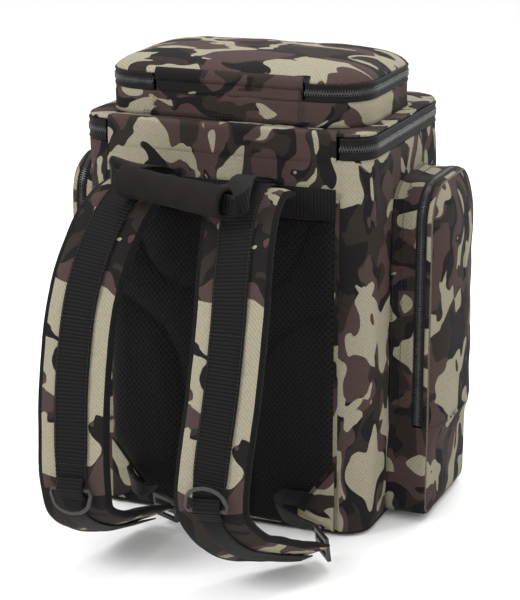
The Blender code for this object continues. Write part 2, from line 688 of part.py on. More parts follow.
def main():
    for old in list(bpy.data.objects):
        bpy.data.objects.remove(old)
    camo = material("camo_fabric", (0.10, 0.085, 0.07), 0.75)
    tape = material("zip_tape", (0.012, 0.012, 0.013), 0.6)
    webbing = material("webbing", (0.012, 0.011, 0.011), 0.8)
    mesh_pad = material("air_mesh", (0.010, 0.009, 0.009), 0.9)
    board = material("board", (0.02, 0.02, 0.02), 0.5)
    plastic = material("moulded_plastic", (0.02, 0.018, 0.018), 0.35)
    foam = material("foam_grip", (0.035, 0.028, 0.026), 0.85)
    metal = material("slider_metal", (0.03, 0.03, 0.032), 0.4, 0.8)

    main_compartment(camo, board, tape)
    lid_top = main_lid(camo, tape)
    top_pocket(camo, tape, lid_top)
    looks = (camo, tape)
    side_span = (SIDE_BACK, SIDE_FRONT)
    wall_pocket("right", side_span, SIDE_TOP, HALF_WIDTH, SIDE_GUSSET, 0.0135, on_right, looks)
    wall_pocket("left", side_span, SIDE_TOP, HALF_WIDTH, SIDE_GUSSET, 0.0135, on_left, looks)
    front_span = (-FRONT_HALF, FRONT_HALF)
    wall_pocket("front", front_span, FRONT_TOP, HALF_DEPTH, FRONT_GUSSET, 0.011, on_front, looks)
    back_panel(mesh_pad, webbing)
    for side in (1, -1):
        strap(side, (camo, webbing, plastic))
    wings(camo, webbing, plastic)
    handle(webbing, foam)
    sliders(metal)


main()
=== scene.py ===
"""The looks of the tackle backpack: camouflage fabric shells, coil zips, padded straps, air mesh and webbing round
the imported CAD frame. Metres, +Z up, the straps towards -Y."""

import math

import bmesh
import bpy
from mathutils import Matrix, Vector, noise


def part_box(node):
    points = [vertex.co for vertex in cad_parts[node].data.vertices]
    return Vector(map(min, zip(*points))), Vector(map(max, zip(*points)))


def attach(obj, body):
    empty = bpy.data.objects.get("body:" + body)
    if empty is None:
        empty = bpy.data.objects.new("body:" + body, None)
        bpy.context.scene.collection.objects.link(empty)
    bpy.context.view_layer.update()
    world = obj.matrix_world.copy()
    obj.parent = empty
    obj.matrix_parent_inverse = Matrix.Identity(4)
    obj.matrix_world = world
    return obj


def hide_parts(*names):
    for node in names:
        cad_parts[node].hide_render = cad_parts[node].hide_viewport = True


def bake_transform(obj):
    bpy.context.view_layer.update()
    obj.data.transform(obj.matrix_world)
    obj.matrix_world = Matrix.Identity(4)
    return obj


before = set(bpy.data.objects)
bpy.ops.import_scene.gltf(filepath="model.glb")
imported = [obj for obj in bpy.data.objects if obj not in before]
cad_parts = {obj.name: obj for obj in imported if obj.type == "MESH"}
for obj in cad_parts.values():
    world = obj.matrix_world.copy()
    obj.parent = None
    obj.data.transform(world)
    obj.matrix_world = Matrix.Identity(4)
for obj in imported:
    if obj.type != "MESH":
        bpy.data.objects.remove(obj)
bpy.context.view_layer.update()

# ------------------------------------------------------------ driving sizes, from the frame

SHELL_LOW, SHELL_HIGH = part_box("main_shell")
HALF_WIDTH, HALF_DEPTH = SHELL_HIGH.x, SHELL_HIGH.y
BACK_RADIUS, FRONT_RADIUS = 0.032, 0.040
ZIP_HALF_GAP = 0.0005
RIM_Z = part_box("main_zip_lower")[1].z + ZIP_HALF_GAP
TOP_LOW, TOP_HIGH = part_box("top_pocket_walls")
TOP_RADIUS, TOP_ZIP_END = 0.050, 0.0875
TOP_ZIP_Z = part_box("top_zip_lower")[1].z + ZIP_HALF_GAP
SIDE_TAPE = 0.0052
HINGE_Z = 0.1122
POCKET_RADIUS, FOOT_RADIUS = 0.045, 0.014
WEB = 0.038
NARROW_WEB, NARROW_THICK = 0.025, 0.0016
RIB_PITCH = 0.0039
COIL_PITCH = 0.0028
CELL = 0.0045
FABRIC, POCKET_FABRIC = 0.0030, 0.0022


# ------------------------------------------------------------ materials


class Nodes:
    """A material's node tree, written as short calls."""

    def __init__(self, name, roughness, sheen=0.0, metallic=0.0, specular=0.10):
        self.material = bpy.data.materials.new(name)
        self.material.use_nodes = True
        self.tree = self.material.node_tree
        self.shader = self.tree.nodes["Principled BSDF"]
        self.shader.inputs["Roughness"].default_value = roughness
        self.shader.inputs["Metallic"].default_value = metallic
        self.shader.inputs["Sheen Weight"].default_value = sheen
        self.shader.inputs["Sheen Roughness"].default_value = 0.4
        self.shader.inputs["Specular IOR Level"].default_value = specular

    def add(self, kind, links=(), **values):
        node = self.tree.nodes.new("ShaderNode" + kind)
        for key, value in values.items():
            if hasattr(node, key):
                setattr(node, key, value)
            else:
                node.inputs[key.replace("_", " ")].default_value = value
        for socket, source in dict(links).items():
            self.tree.links.new(source, node.inputs[socket])
        return node

    def maths(self, operation, a, b=0.5, c=None):
        node = self.tree.nodes.new("ShaderNodeMath")
        node.operation = operation
        for i, value in enumerate((a, b) if c is None else (a, b, c)):
            if isinstance(value, (int, float)):
                node.inputs[i].default_value = value
            else:
                self.tree.links.new(value, node.inputs[i])
        return node.outputs[0]

    def place(self, scale, shift=(0, 0, 0), turn=0.0, source="UV"):
        start = self.add("TexCoord").outputs[source]
        node = self.add("Mapping", {"Vector": start})
        node.inputs["Scale"].default_value = scale if hasattr(scale, "__len__") else (scale,) * 3
        node.inputs["Location"].default_value = shift
        node.inputs["Rotation"].default_value = (0, 0, turn)
        return node.outputs[0]

    def noise(self, where, scale, detail=2.0, roughness=0.5, distortion=0.0):
        node = self.add("TexNoise", {"Vector": where}, Scale=scale, Detail=detail, Roughness=roughness)
        node.inputs["Distortion"].default_value = distortion
        return node.outputs["Fac"]

    def ramp(self, value, low, high):
        node = self.add("MapRange", {"Value": value})
        node.inputs["From Min"].default_value = low
        node.inputs["From Max"].default_value = high
        return node.outputs["Result"]

    def mix(self, factor, a, b, blend="MIX"):
        node = self.tree.nodes.new("ShaderNodeMix")
        node.data_type = "RGBA"
        node.blend_type = blend
        for socket, value in ((0, factor), (6, a), (7, b)):
            if isinstance(value, (int, float)):
                node.inputs[socket].default_value = value
            elif isinstance(value, tuple):
                node.inputs[socket].default_value = (*value, 1.0)
            else:
                self.tree.links.new(value, node.inputs[socket])
        return node.outputs[2]

    def finish(self, colour, height=None, depth=0.0004, strength=0.6, roughness=None):
        if isinstance(colour, tuple):
            self.shader.inputs["Base Color"].default_value = (*colour, 1.0)
        else:
            self.tree.links.new(colour, self.shader.inputs["Base Color"])
        if roughness is not None:
            self.tree.links.new(roughness, self.shader.inputs["Roughness"])
        if height is not None:
            bump = self.add("Bump", {"Height": height}, Strength=strength, Distance=depth)
            self.tree.links.new(bump.outputs[0], self.shader.inputs["Normal"])
        return self.material


WAVE = 3.1831  # waves of the wave texture in one unit, at scale 1
DIAGONAL = 0.785


def weave(nodes, pitch):
    """A diagonal twill from two crossing waves, from 0 in the furrows to 1 on the threads."""
    waves = []
    for angle, stretch in ((DIAGONAL, 1.0), (DIAGONAL + 1.5708, 1.9)):
        where = nodes.place(1.0, turn=angle)
        wave = nodes.add("TexWave", {"Vector": where}, Scale=1.0 / (pitch * stretch) / WAVE, Distortion=0.6)
        wave.inputs["Detail"].default_value = 1.0
        wave.inputs["Detail Scale"].default_value = 300.0
        waves.append(wave.outputs["Fac"])
    return nodes.maths("MULTIPLY_ADD", waves[0], 0.7, nodes.maths("MULTIPLY", waves[1], 0.3))


SAND, MAROON = (0.268, 0.245, 0.178), (0.060, 0.039, 0.036)
CHARCOAL, BARK = (0.013, 0.0112, 0.0120), (0.027, 0.0215, 0.0180)
# The print's layers over the charcoal, bark first: (seed, relative size, how high the noise must be to show).
PRINT_LAYERS = ((0.0, 1.0, 0.50), (7.3, 0.85, 0.535), (15.1, 1.00, 0.542))
PRINT_EDGE = 0.004


def camo(name, shift, scale=(25.0, 16.0, 20.0), shade=1.0, source="UV"):
    """Four printed colours with soft-cornered blotches on a twill weave."""
    nodes = Nodes(name, 0.78, sheen=0.015, specular=0.05)
    where = nodes.place(scale, shift, source=source)
    bend = nodes.add("TexNoise", {"Vector": where}, Scale=0.8, Detail=1.0)
    moved = nodes.add("VectorMath", {0: bend.outputs["Color"]}, operation="SCALE")
    moved.inputs["Scale"].default_value = 2.3
    warped = nodes.add("VectorMath", {0: where, 1: moved.outputs[0]}, operation="ADD").outputs[0]
    masks = []
    for seed, size, level in PRINT_LAYERS:
        offset = nodes.add("VectorMath", {0: warped}, operation="ADD")
        offset.inputs[1].default_value = (seed, seed * 0.7, seed * 0.3)
        print_noise = nodes.noise(offset.outputs[0], size, 1.6, 0.40, 0.35)
        masks.append(nodes.ramp(print_noise, level - PRINT_EDGE, level + PRINT_EDGE))
    tone = tuple(c * shade for c in CHARCOAL)
    colour = nodes.mix(masks[0], tone, tuple(c * shade for c in BARK))
    colour = nodes.mix(masks[1], colour, tuple(c * shade for c in MAROON))
    colour = nodes.mix(masks[2], colour, tuple(c * shade for c in SAND))
    threads = weave(nodes, 0.0017)
    wear = nodes.ramp(nodes.noise(nodes.place(1.0), 260.0, 3.0), 0.2, 0.8)
    shadow = nodes.maths("MULTIPLY_ADD", threads, 0.60, 0.62)
    shadow = nodes.maths("MULTIPLY", shadow, nodes.maths("MULTIPLY_ADD", wear, 0.22, 0.89))
    grey = nodes.add("CombineColor", {0: shadow, 1: shadow, 2: shadow}).outputs[0]
    colour = nodes.mix(1.0, colour, grey, "MULTIPLY")
    return nodes.finish(colour, threads, 0.0004, 0.55)


def black_fabric(name, colour, pitch):
    nodes = Nodes(name, 0.68, 0.04)
    threads = weave(nodes, pitch)
    dust = nodes.ramp(nodes.noise(nodes.place(1.0), 90.0, 4.0), 0.35, 0.75)
    shade = nodes.mix(dust, colour, tuple(c * 1.7 for c in colour))
    return nodes.finish(shade, threads, 0.0003, 0.5)


def ribbed_webbing(name, pitch=RIB_PITCH):
    """Black polyester webbing: ribs across it, fine threads along them."""
    nodes = Nodes(name, 0.60, 0.05)
    where = nodes.place(1.0)
    rib = nodes.add("TexWave", {"Vector": where}, bands_direction="Y", Scale=1 / pitch / WAVE, Distortion=0.25)
    rib.inputs["Detail Scale"].default_value = 120.0
    fine = nodes.add("TexWave", {"Vector": where}, bands_direction="X", Scale=1 / 0.0012 / WAVE, Distortion=0.5)
    ribs = nodes.maths("MULTIPLY", rib.outputs["Fac"], 0.75)
    height = nodes.maths("MULTIPLY_ADD", fine.outputs["Fac"], 0.25, ribs)
    # Painted shade: the colour follows the rib height, dark in the furrows between the ribs and lighter on the ribs.
    shade = nodes.mix(height, (0.0008, 0.0007, 0.0007), (0.0090, 0.0080, 0.0080))
    return nodes.finish(shade, height, 0.0007, 0.8)


def air_mesh(name, pitch=0.0042):
    """Black spacer mesh: round holes in diagonal rows, painted darker inside as shade."""
    nodes = Nodes(name, 0.75, 0.03)
    where = nodes.place((1 / pitch, 0.82 / pitch, 1.0), turn=DIAGONAL)
    cells = nodes.add("TexVoronoi", {"Vector": where}, Scale=1.0)
    cells.inputs["Randomness"].default_value = 0.06
    hole = nodes.ramp(cells.outputs["Distance"], 0.26, 0.40)
    fine = nodes.noise(nodes.place(1.0), 1500.0, 2.0)
    thread = nodes.mix(fine, (0.0025, 0.002, 0.002), (0.0095, 0.008, 0.008))
    # Painted shade: the holes are coloured darker than the threads round them.
    shade = nodes.mix(hole, (0.0015, 0.0014, 0.0014), thread)
    return nodes.finish(shade, hole, 0.0010, 0.9)


def moulded(name, colour, roughness, grain=900.0, depth=0.00008, metallic=0.0, specular=0.4):
    """Moulded plastic, painted metal or foam: a grain that also varies the gloss."""
    nodes = Nodes(name, roughness, metallic=metallic, specular=specular)
    where = nodes.place(1.0, source="Object")
    speck = nodes.noise(where, grain, 3.0)
    patch = nodes.ramp(nodes.noise(where, 55.0, 3.0), 0.3, 0.7)
    gloss = nodes.maths("MULTIPLY_ADD", patch, 0.16, roughness - 0.08)
    shade = nodes.mix(patch, tuple(c * 0.8 for c in colour), tuple(c * 1.25 for c in colour))
    return nodes.finish(shade, speck, depth, 0.5, gloss)


LOOKS = {
    "body": camo("camo_body", (3.1, 1.2, 0)),
    "side": camo("camo_side", (6.6, 2.9, 0)),
    "front_panel": camo("camo_front_panel", (4.4, 0.7, 0), (25.0, 20.0, 16.0), source="Object"),
    "front": camo("camo_front", (9.4, 4.2, 0)),
    "lid": camo("camo_lid", (1.7, 8.3, 0), (17.0, 27.0, 20.0)),
    # Painted shade: the side pockets' print is a darker copy of the same camo.
    "pocket": camo("camo_pocket", (5.5, 2.6, 0), shade=0.9),
    "strap": camo("camo_strap", (2.2, 6.1, 0), (17.0, 22.0, 20.0)),
    "tape": black_fabric("zip_tape_black", (0.007, 0.0065, 0.0065), 0.0009),
    "lining": black_fabric("lining_black", (0.010, 0.009, 0.009), 0.0008),
    "binding": air_mesh("binding_mesh", 0.0022),
    "web": ribbed_webbing("webbing_ribbed"),
    "smooth_web": ribbed_webbing("webbing_smooth", 0.0012),
    "mesh": air_mesh("air_mesh_black"),
    # Painted highlight: the coil is coloured lighter than the black plastic to stand in for its glints.
    "teeth": moulded("zip_coil", (0.050, 0.050, 0.051), 0.26),
    "thread": moulded("thread_dark", (0.010, 0.009, 0.009), 0.6, 4000.0),
    "plastic": moulded("plastic_satin", (0.024, 0.021, 0.021), 0.36),
    "foam": moulded("foam_grip_dark", (0.0110, 0.0088, 0.0082), 0.88, 1400.0, 0.0003, specular=0.08),
    "metal": moulded("slider_black", (0.030, 0.030, 0.032), 0.35, 500.0, 0.00004, 0.85),
    "board": moulded("board_black", (0.018, 0.018, 0.019), 0.55, 300.0, 0.0002),
}


# ------------------------------------------------------------ surfaces


def finish_piece(obj, body, slot, *nodes):
    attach(obj, body)
    if nodes:
        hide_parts(*nodes)
    return obj


def mesh_object(name, points, faces, uvs, looks, marks=None):
    """An object with a UV in metres for each point. looks are its materials, marks each face's material index."""
    mesh = bpy.data.meshes.new(name)
    mesh.from_pydata([tuple(p) for p in points], [], faces)
    layer = mesh.uv_layers.new(name="UVMap")
    for loop in mesh.loops:
        layer.data[loop.index].uv = uvs[loop.vertex_index]
    for look in looks:
        mesh.materials.append(LOOKS[look])
    if marks:
        mesh.polygons.foreach_set("material_index", marks)
    mesh.shade_smooth()
    obj = bpy.data.objects.new(name, mesh)
    bpy.context.scene.collection.objects.link(obj)
    return obj


def face_away(obj, inside):
    """Turns an open surface so that its normals point away from the point inside."""
    mesh = obj.data
    total = sum((p.normal.dot(p.center - inside) * p.area for p in mesh.polygons), 0.0)
    if total < 0:
        mesh.flip_normals()


def outward(obj):
    """Turns a closed mesh's normals out."""
    work = bmesh.new()
    work.from_mesh(obj.data)
    bmesh.ops.recalc_face_normals(work, faces=work.faces)
    work.to_mesh(obj.data)
    work.free()
    return obj


def surface(name, rows, uvs, looks, inside, loop=True, cap=False, thick=0.0022, relief=None):
    """A sheet of fabric through rows of points, turned away from inside, with a lining thick behind it.
    relief(point, u, v) moves each point along its normal."""
    count = len(rows[0])
    points = [p for row in rows for p in row]
    flat_uvs = [uv for row in uvs for uv in row]
    faces = []
    for i in range(len(rows) - 1):
        for j in range(count if loop else count - 1):
            k = (j + 1) % count
            a, b = i * count, (i + 1) * count
            faces.append((a + j, a + k, b + k, b + j))
    if cap:
        faces.append(tuple(range((len(rows) - 1) * count, len(rows) * count)))
    obj = mesh_object(name, points, faces, flat_uvs, looks)
    face_away(obj, inside)
    if relief:
        normals = [v.normal.copy() for v in obj.data.vertices]
        for vertex, normal, uv in zip(obj.data.vertices, normals, flat_uvs):
            vertex.co += normal * relief(vertex.co, *uv)
    if thick:
        wall = obj.modifiers.new("lining", "SOLIDIFY")
        wall.thickness, wall.offset = thick, -1.0
        wall.material_offset = wall.material_offset_rim = len(looks) - 1
    return obj


def crumple(p, size, amount, stretch=(1, 1, 1), seed=0.0):
    """Soft folds: ridged noise, sharper along the creases than between them."""
    q = Vector((p.x * stretch[0], p.y * stretch[1], p.z * stretch[2])) / size + Vector((seed, seed, seed))
    return amount * (noise.noise(q) + 0.45 * noise.noise(q * 2.3) - 0.35 * abs(noise.noise(q * 1.4)))


def groove(distance, width, depth):
    """A sewn line: how far the fabric is pulled in at this distance from it."""
    return -depth * math.exp(-((distance / width) ** 2))


def arc_points(centre, radius, start, step):
    count = max(3, round(radius * math.pi / 2 / step))
    turns = [math.radians(start + 90 * i / count) for i in range(count + 1)]
    return [(centre[0] + radius * math.cos(t), centre[1] + radius * math.sin(t)) for t in turns]


def outline(u0, u1, v0, v1, low, high, step=CELL):
    """A rounded rectangle walked anticlockwise from the middle of its v0 side, points about step apart."""
    corners = arc_points((u1 - low, v0 + low), low, -90, step) + arc_points((u1 - high, v1 - high), high, 0, step)
    corners += arc_points((u0 + high, v1 - high), high, 90, step) + arc_points((u0 + low, v0 + low), low, 180, step)
    middle = ((u0 + u1) / 2, v0)
    path = [middle]
    for corner in corners + [middle]:
        gap = math.dist(path[-1], corner)
        if gap < 1e-6:
            continue
        pieces = max(1, round(gap / step))
        start = path[-1]
        for i in range(1, pieces + 1):
            t = i / pieces
            path.append((start[0] + (corner[0] - start[0]) * t, start[1] + (corner[1] - start[1]) * t))
    return path


def lengths(path):
    total, found = 0.0, [0.0]
    for a, b in zip(path, path[1:]):
        total += math.dist(a, b)
        found.append(total)
    return found


def centred(along):
    """Distances round a closed outline, negative on the way back, so that the print meets itself in front."""
    return [s if s < along[-1] / 2 else s - along[-1] for s in along]


def place_right(u, v, w):
    return Vector((w, u, v))


def place_left(u, v, w):
    return Vector((-w, u, v))


def place_front(u, v, w):
    return Vector((u, w, v))


def place_top(u, v, w):
    return Vector((u, v, w))


def scaled(path, u0, u1, v0, v1, inset):
    """The outline drawn in by inset on each side: scaled about its middle, so its points never cross."""
    cu, cv = (u0 + u1) / 2, (v0 + v1) / 2
    su, sv = 1 - 2 * inset / (u1 - u0), 1 - 2 * inset / (v1 - v0)
    return [(cu + (u - cu) * su, cv + (v - cv) * sv) for u, v in path]


# ------------------------------------------------------------ stitches and strips


STITCH, STITCH_GAP, THREAD = 0.0032, 0.0010, 0.00045


def stitches(name, path, normals, body, slot="camo_fabric"):
    """A row of thread stitches along a path on a surface with these normals."""
    points, faces = [], []
    travelled, start = 0.0, 0.0
    for (a, na), (b, _) in zip(zip(path, normals), zip(path[1:], normals[1:])):
        span = (b - a).length
        if span < 1e-7:
            continue
        way = (b - a) / span
        side = way.cross(na).normalized()
        while start < travelled + span:
            p = a + way * (start - travelled) + na * (THREAD * 0.4)
            q = p + way * STITCH
            base = len(points)
            for end, lift in ((p, 0.0), (p.lerp(q, 0.5), 1.0), (q, 0.0)):
                centre = end + na * (THREAD * 0.9 * lift)
                size = THREAD * (0.6 + 0.4 * lift)
                points += [centre - side * size, centre + na * size, centre + side * size, centre - na * size]
            for k in range(2):
                for m in range(4):
                    n = (m + 1) % 4
                    faces.append((base + k * 4 + m, base + k * 4 + n, base + k * 4 + 4 + n, base + k * 4 + 4 + m))
            faces += [(base + 3, base + 2, base + 1, base), (base + 8, base + 9, base + 10, base + 11)]
            start += STITCH + STITCH_GAP
        travelled += span
    obj = mesh_object(name, points, faces, [(p.x, p.z) for p in points], ["thread"])
    return finish_piece(obj, body, slot)


def smooth_curve(points, per_span):
    """Catmull-Rom through the points."""
    ends = [points[0] * 2 - points[1]] + points + [points[-1] * 2 - points[-2]]
    found = []
    for i in range(1, len(ends) - 2):
        a, b, c, d = ends[i - 1 : i + 3]
        for k in range(per_span):
            t = k / per_span
            square, cube = 2 * a - 5 * b + 4 * c - d, 3 * b - a - 3 * c + d
            found.append(0.5 * (2 * b + (c - a) * t + square * t**2 + cube * t**3))
    return found + [points[-1]]


def frames(stops, per_span):
    """(centre, across, out, along, width, thick, travelled) along a route of (centre, side, width, thick)."""
    centres = smooth_curve([Vector(s[0]) for s in stops], per_span)
    sides = smooth_curve([Vector(s[1]) for s in stops], per_span)
    sizes = smooth_curve([Vector((s[2], s[3], 0)) for s in stops], per_span)
    found, travelled = [], 0.0
    for i, (centre, side, size) in enumerate(zip(centres, sides, sizes)):
        if i:
            travelled += (centre - centres[i - 1]).length
        along = (centres[min(i + 1, len(centres) - 1)] - centres[max(i - 1, 0)]).normalized()
        across = (side - along * side.dot(along)).normalized()
        found.append((centre, across, along.cross(across).normalized(), along, size.x, size.y, travelled))
    return found


def swept(name, places, section, looks, marks=None, relief=None):
    """A closed strip through the places. section(width, thick) gives its outline as (x, y) points, and marks each
    side's material. relief(x, y, travelled, i) gives how far each point moves out."""
    points, faces, uvs, face_marks = [], [], [], []
    for i, (centre, across, out, _, wide, deep, travelled) in enumerate(places):
        ring = section(wide, deep)
        perimeter = 0.0
        for j, (x, y) in enumerate(ring):
            lift = relief(x, y, travelled, i) if relief else 0.0
            points.append(centre + across * x + out * (y + lift))
            if j:
                perimeter += math.dist(ring[j], ring[j - 1])
            uvs.append((perimeter, travelled))
    count = len(ring)
    for i in range(len(places) - 1):
        for j in range(count):
            k = (j + 1) % count
            faces.append((i * count + j, i * count + k, (i + 1) * count + k, (i + 1) * count + j))
            face_marks.append(marks[j] if marks else 0)
    faces += [tuple(reversed(range(count))), tuple(range(len(points) - count, len(points)))]
    face_marks += [face_marks[0]] * 2
    return outward(mesh_object(name, points, faces, uvs, looks, face_marks))


def strap_section(wide, deep):
    """Flat webbing with slightly rounded edges."""
    w, t = wide / 2, deep / 2
    return [(-w, -t * 0.5), (-w + 0.0006, -t), (w - 0.0006, -t), (w, -t * 0.5)] + [
        (w, t * 0.5), (w - 0.0006, t), (w * 0.5, t), (0.0, t), (-w * 0.5, t), (-w + 0.0006, t), (-w, t * 0.5)]


def webbing(name, places, look="web", lift=0.0, rib=0.00028):
    """Webbing whose ribs are in the mesh as well as in the material."""
    shifted = [(c + o * lift, a, o, l, w, t, s) for c, a, o, l, w, t, s in places]

    def ribs(x, y, travelled, i):
        return rib * math.sin(2 * math.pi * travelled / RIB_PITCH) if y > 0 else 0.0

    return swept(name, shifted, strap_section, [look], relief=ribs if rib else None)


# ------------------------------------------------------------ zips


# A tooth across its tape: (way from the slit, lowest, highest).
TOOTH = ((-0.0011, -0.0012, 0.0007), (-0.0005, -0.0014, 0.0013), (0.0030, -0.0014, 0.0013), (0.0037, -0.0010, 0.0004))


def zip_half(name, path, body, node, tape, parity):
    """One row of teeth on its tape. path is (point on the slit, outward normal, way from the slit into the tape)."""
    profile = [(0.0028, -0.0020), (tape, -0.0020), (tape, 0.0001), (tape - 0.0005, 0.0008), (tape - 0.0018, 0.0009)]
    profile += [(tape - 0.0024, 0.0002), (0.0028, 0.0001)]
    points, faces, uvs, marks = [], [], [], []
    count, travelled = len(profile), 0.0
    for i, (p, out, way) in enumerate(path):
        travelled += (p - path[i - 1][0]).length if i else 0.0
        for w, n in profile:
            points.append(p + way * w + out * n)
            uvs.append((w + n, travelled))
        if i:
            for j in range(count):
                k = (j + 1) % count
                faces.append(((i - 1) * count + j, (i - 1) * count + k, i * count + k, i * count + j))
                marks.append(0)
    faces += [tuple(range(count)), tuple(reversed(range(len(points) - count, len(points))))]
    marks += [0, 0]
    start, travelled = COIL_PITCH / 2 * parity, 0.0
    for (a, out, way), (b, _, _) in zip(path, path[1:]):
        span = (b - a).length
        while start < travelled + span:
            p = a.lerp(b, (start - travelled) / span)
            along = (b - a) / span * 0.00058
            base = len(points)
            for w, low, high in TOOTH:
                c = p + way * w
                points += [c - along + out * low, c + along + out * low]
                points += [c + along * 0.7 + out * high, c - along * 0.7 + out * high]
            uvs += [(0, 0)] * 16
            for k in range(3):
                for m in range(4):
                    q = base + k * 4
                    faces.append((q + m, q + (m + 1) % 4, q + 4 + (m + 1) % 4, q + 4 + m))
                    marks.append(1)
            faces += [(base + 3, base + 2, base + 1, base), (base + 12, base + 13, base + 14, base + 15)]
            marks += [1, 1]
            start += COIL_PITCH
        travelled += span
    obj = outward(mesh_object(name, points, faces, uvs, ["tape", "teeth"], marks))
    obj.data.set_sharp_from_angle(angle=math.radians(40))
    return finish_piece(obj, body, "zip_tape", node)


def level_path(path, z, up):
    """A zip path that runs level at z round an outline in (x, y)."""
    found = []
    for i, (x, y) in enumerate(path):
        a, b = path[max(i - 1, 0)], path[min(i + 1, len(path) - 1)]
        along = Vector((b[0] - a[0], b[1] - a[1], 0)).normalized()
        found.append((Vector((x, y, z)), Vector((along.y, -along.x, 0)), Vector((0, 0, up))))
    return found


# ------------------------------------------------------------ main compartment


def stacked(path, box, profile, uv, place=place_top):
    """Rows of points for an outline drawn in by each inset and set at each height, and uv(i, u, v, inset, height)."""
    rows, uvs = [], []
    for inset, height in profile:
        walk = scaled(path, *box, inset)[:-1]
        rows.append([place(u, v, height) for u, v in walk])
        uvs.append([uv(i, u, v, inset, height) for i, (u, v) in enumerate(walk)])
    return rows, uvs


def flat_strip(line, heights):
    """Rows of points up a flat wall over a line in (x, y), and their UVs."""
    return [[Vector((x, y, z)) for x, y in line] for z in heights], [[(x, z) for x, _ in line] for z in heights]


MAIN_BOX = (-HALF_WIDTH, HALF_WIDTH, -HALF_DEPTH, HALF_DEPTH)
MAIN_PATH = outline(*MAIN_BOX, BACK_RADIUS, FRONT_RADIUS)
ZIP_END = HALF_WIDTH - BACK_RADIUS


def main_relief(p, u, v):
    """The main compartment's fabric: sewn corners of the back panel, sag, and drag lines on the sides."""
    lift = 0.0
    if p.y < -HALF_DEPTH + BACK_RADIUS:
        lift += groove(abs(p.x) - ZIP_END, 0.0022, 0.0020)
        pucker = math.sin(p.z * 2 * math.pi / 0.013 + 2 * noise.noise(p * 60))
        lift += 0.0006 * pucker * math.exp(-((abs(abs(p.x) - ZIP_END) / 0.010) ** 2))
    ends = min(1.0, max(0.0, (0.425 - p.z) / 0.05)) * min(1.0, p.z / 0.04)
    if abs(p.x) > ZIP_END:
        lift += crumple(p, 0.060, 0.0034 * ends, (1, 1.3, 0.55), 3.0) + 0.0015 * ends
        lift += crumple(p, 0.022, 0.0007 * ends, (1, 0.8, 1.3), 8.0)
    elif p.y < 0:
        lift += crumple(p, 0.045, 0.0011 * ends, (1, 1, 1.0), 9.0)
    else:
        lift += crumple(p, 0.070, 0.0022 * ends, (0.8, 1, 0.8), 5.0) + 0.0010 * ends
    return lift


def main_compartment():
    wall_top, fold_top = RIM_Z - 0.0126, RIM_Z + 0.0104
    foot = [(0.010 * (1 - math.sin(t)), 0.010 * (1 - math.cos(t))) for t in (0.0, 0.4, 0.8, 1.2, 1.5708)]
    count = round((wall_top - 0.010) / CELL)
    heights = foot + [(0.0, 0.010 + (wall_top - 0.010) * i / count) for i in range(1, count + 1)]
    along = centred(lengths(MAIN_PATH))
    rows, uvs = stacked(MAIN_PATH, MAIN_BOX, heights, lambda i, u, v, inset, z: (along[i], z + inset))
    rows.insert(0, [Vector((x * 0.5, y * 0.5, 0.0)) for x, y in scaled(MAIN_PATH, *MAIN_BOX, 0.010)[:-1]])
    uvs.insert(0, [(s, -0.08) for s in along[:-1]])
    rows.reverse()
    uvs.reverse()
    looks = ["body", "side", "front_panel", "lining"]
    shell = surface("main_shell_fabric", rows, uvs, looks, Vector((0, 0, 0.2)), cap=True, relief=main_relief)
    for face in shell.data.polygons:
        c = face.center
        if c.y > HALF_DEPTH - FRONT_RADIUS and abs(c.x) < HALF_WIDTH - FRONT_RADIUS:
            face.material_index = 2
        elif abs(c.x) > ZIP_END or c.y > 0:
            face.material_index = 1
    finish_piece(shell, "bag", "camo_fabric", "main_shell")
    back = sorted(p for p in MAIN_PATH[:-1] if p[1] < -HALF_DEPTH + 1e-5 and abs(p[0]) < ZIP_END - 0.002)
    steps = [wall_top - 0.001 + (fold_top - wall_top + 0.001) * i / 6 for i in range(7)]
    top = surface("back_panel_top", *flat_strip(back, steps), ["body", "lining"], Vector((0, 0, 0.43)), loop=False)
    finish_piece(top, "bag", "camo_fabric")
    first = next(i for i, p in enumerate(MAIN_PATH) if p[0] > ZIP_END - 1e-4)
    last = next(i for i in range(len(MAIN_PATH) - 1, 0, -1) if MAIN_PATH[i][0] < -ZIP_END + 1e-4)
    walk = MAIN_PATH[first : last + 1]
    zip_half("main_zip_lower_row", level_path(walk, RIM_Z, -1), "bag", "main_zip_lower", 0.0118, 0)
    zip_half("main_zip_upper_row", level_path(walk, RIM_Z, 1), "lid", "main_zip_upper", 0.0112, 1)
    foot_line = scaled(MAIN_PATH, *MAIN_BOX, 0.0022)[:-1]
    piping("foot_piping", [Vector((x, y, 0.0042)) for x, y in foot_line], 0.0020, "bag")


def piping(name, path, radius, body):
    """A closed round cord of binding along a path."""
    curve = bpy.data.curves.new(name, "CURVE")
    curve.dimensions = "3D"
    curve.bevel_depth, curve.bevel_resolution = radius, 2
    spline = curve.splines.new("POLY")
    spline.points.add(len(path) - 1)
    for point, p in zip(spline.points, path):
        point.co = (*p, 1.0)
    spline.use_cyclic_u = True
    curve.materials.append(LOOKS["tape"])
    obj = bpy.data.objects.new(name, curve)
    bpy.context.scene.collection.objects.link(obj)
    return finish_piece(obj, body, "zip_tape")


# ------------------------------------------------------------ lid and the pocket on it


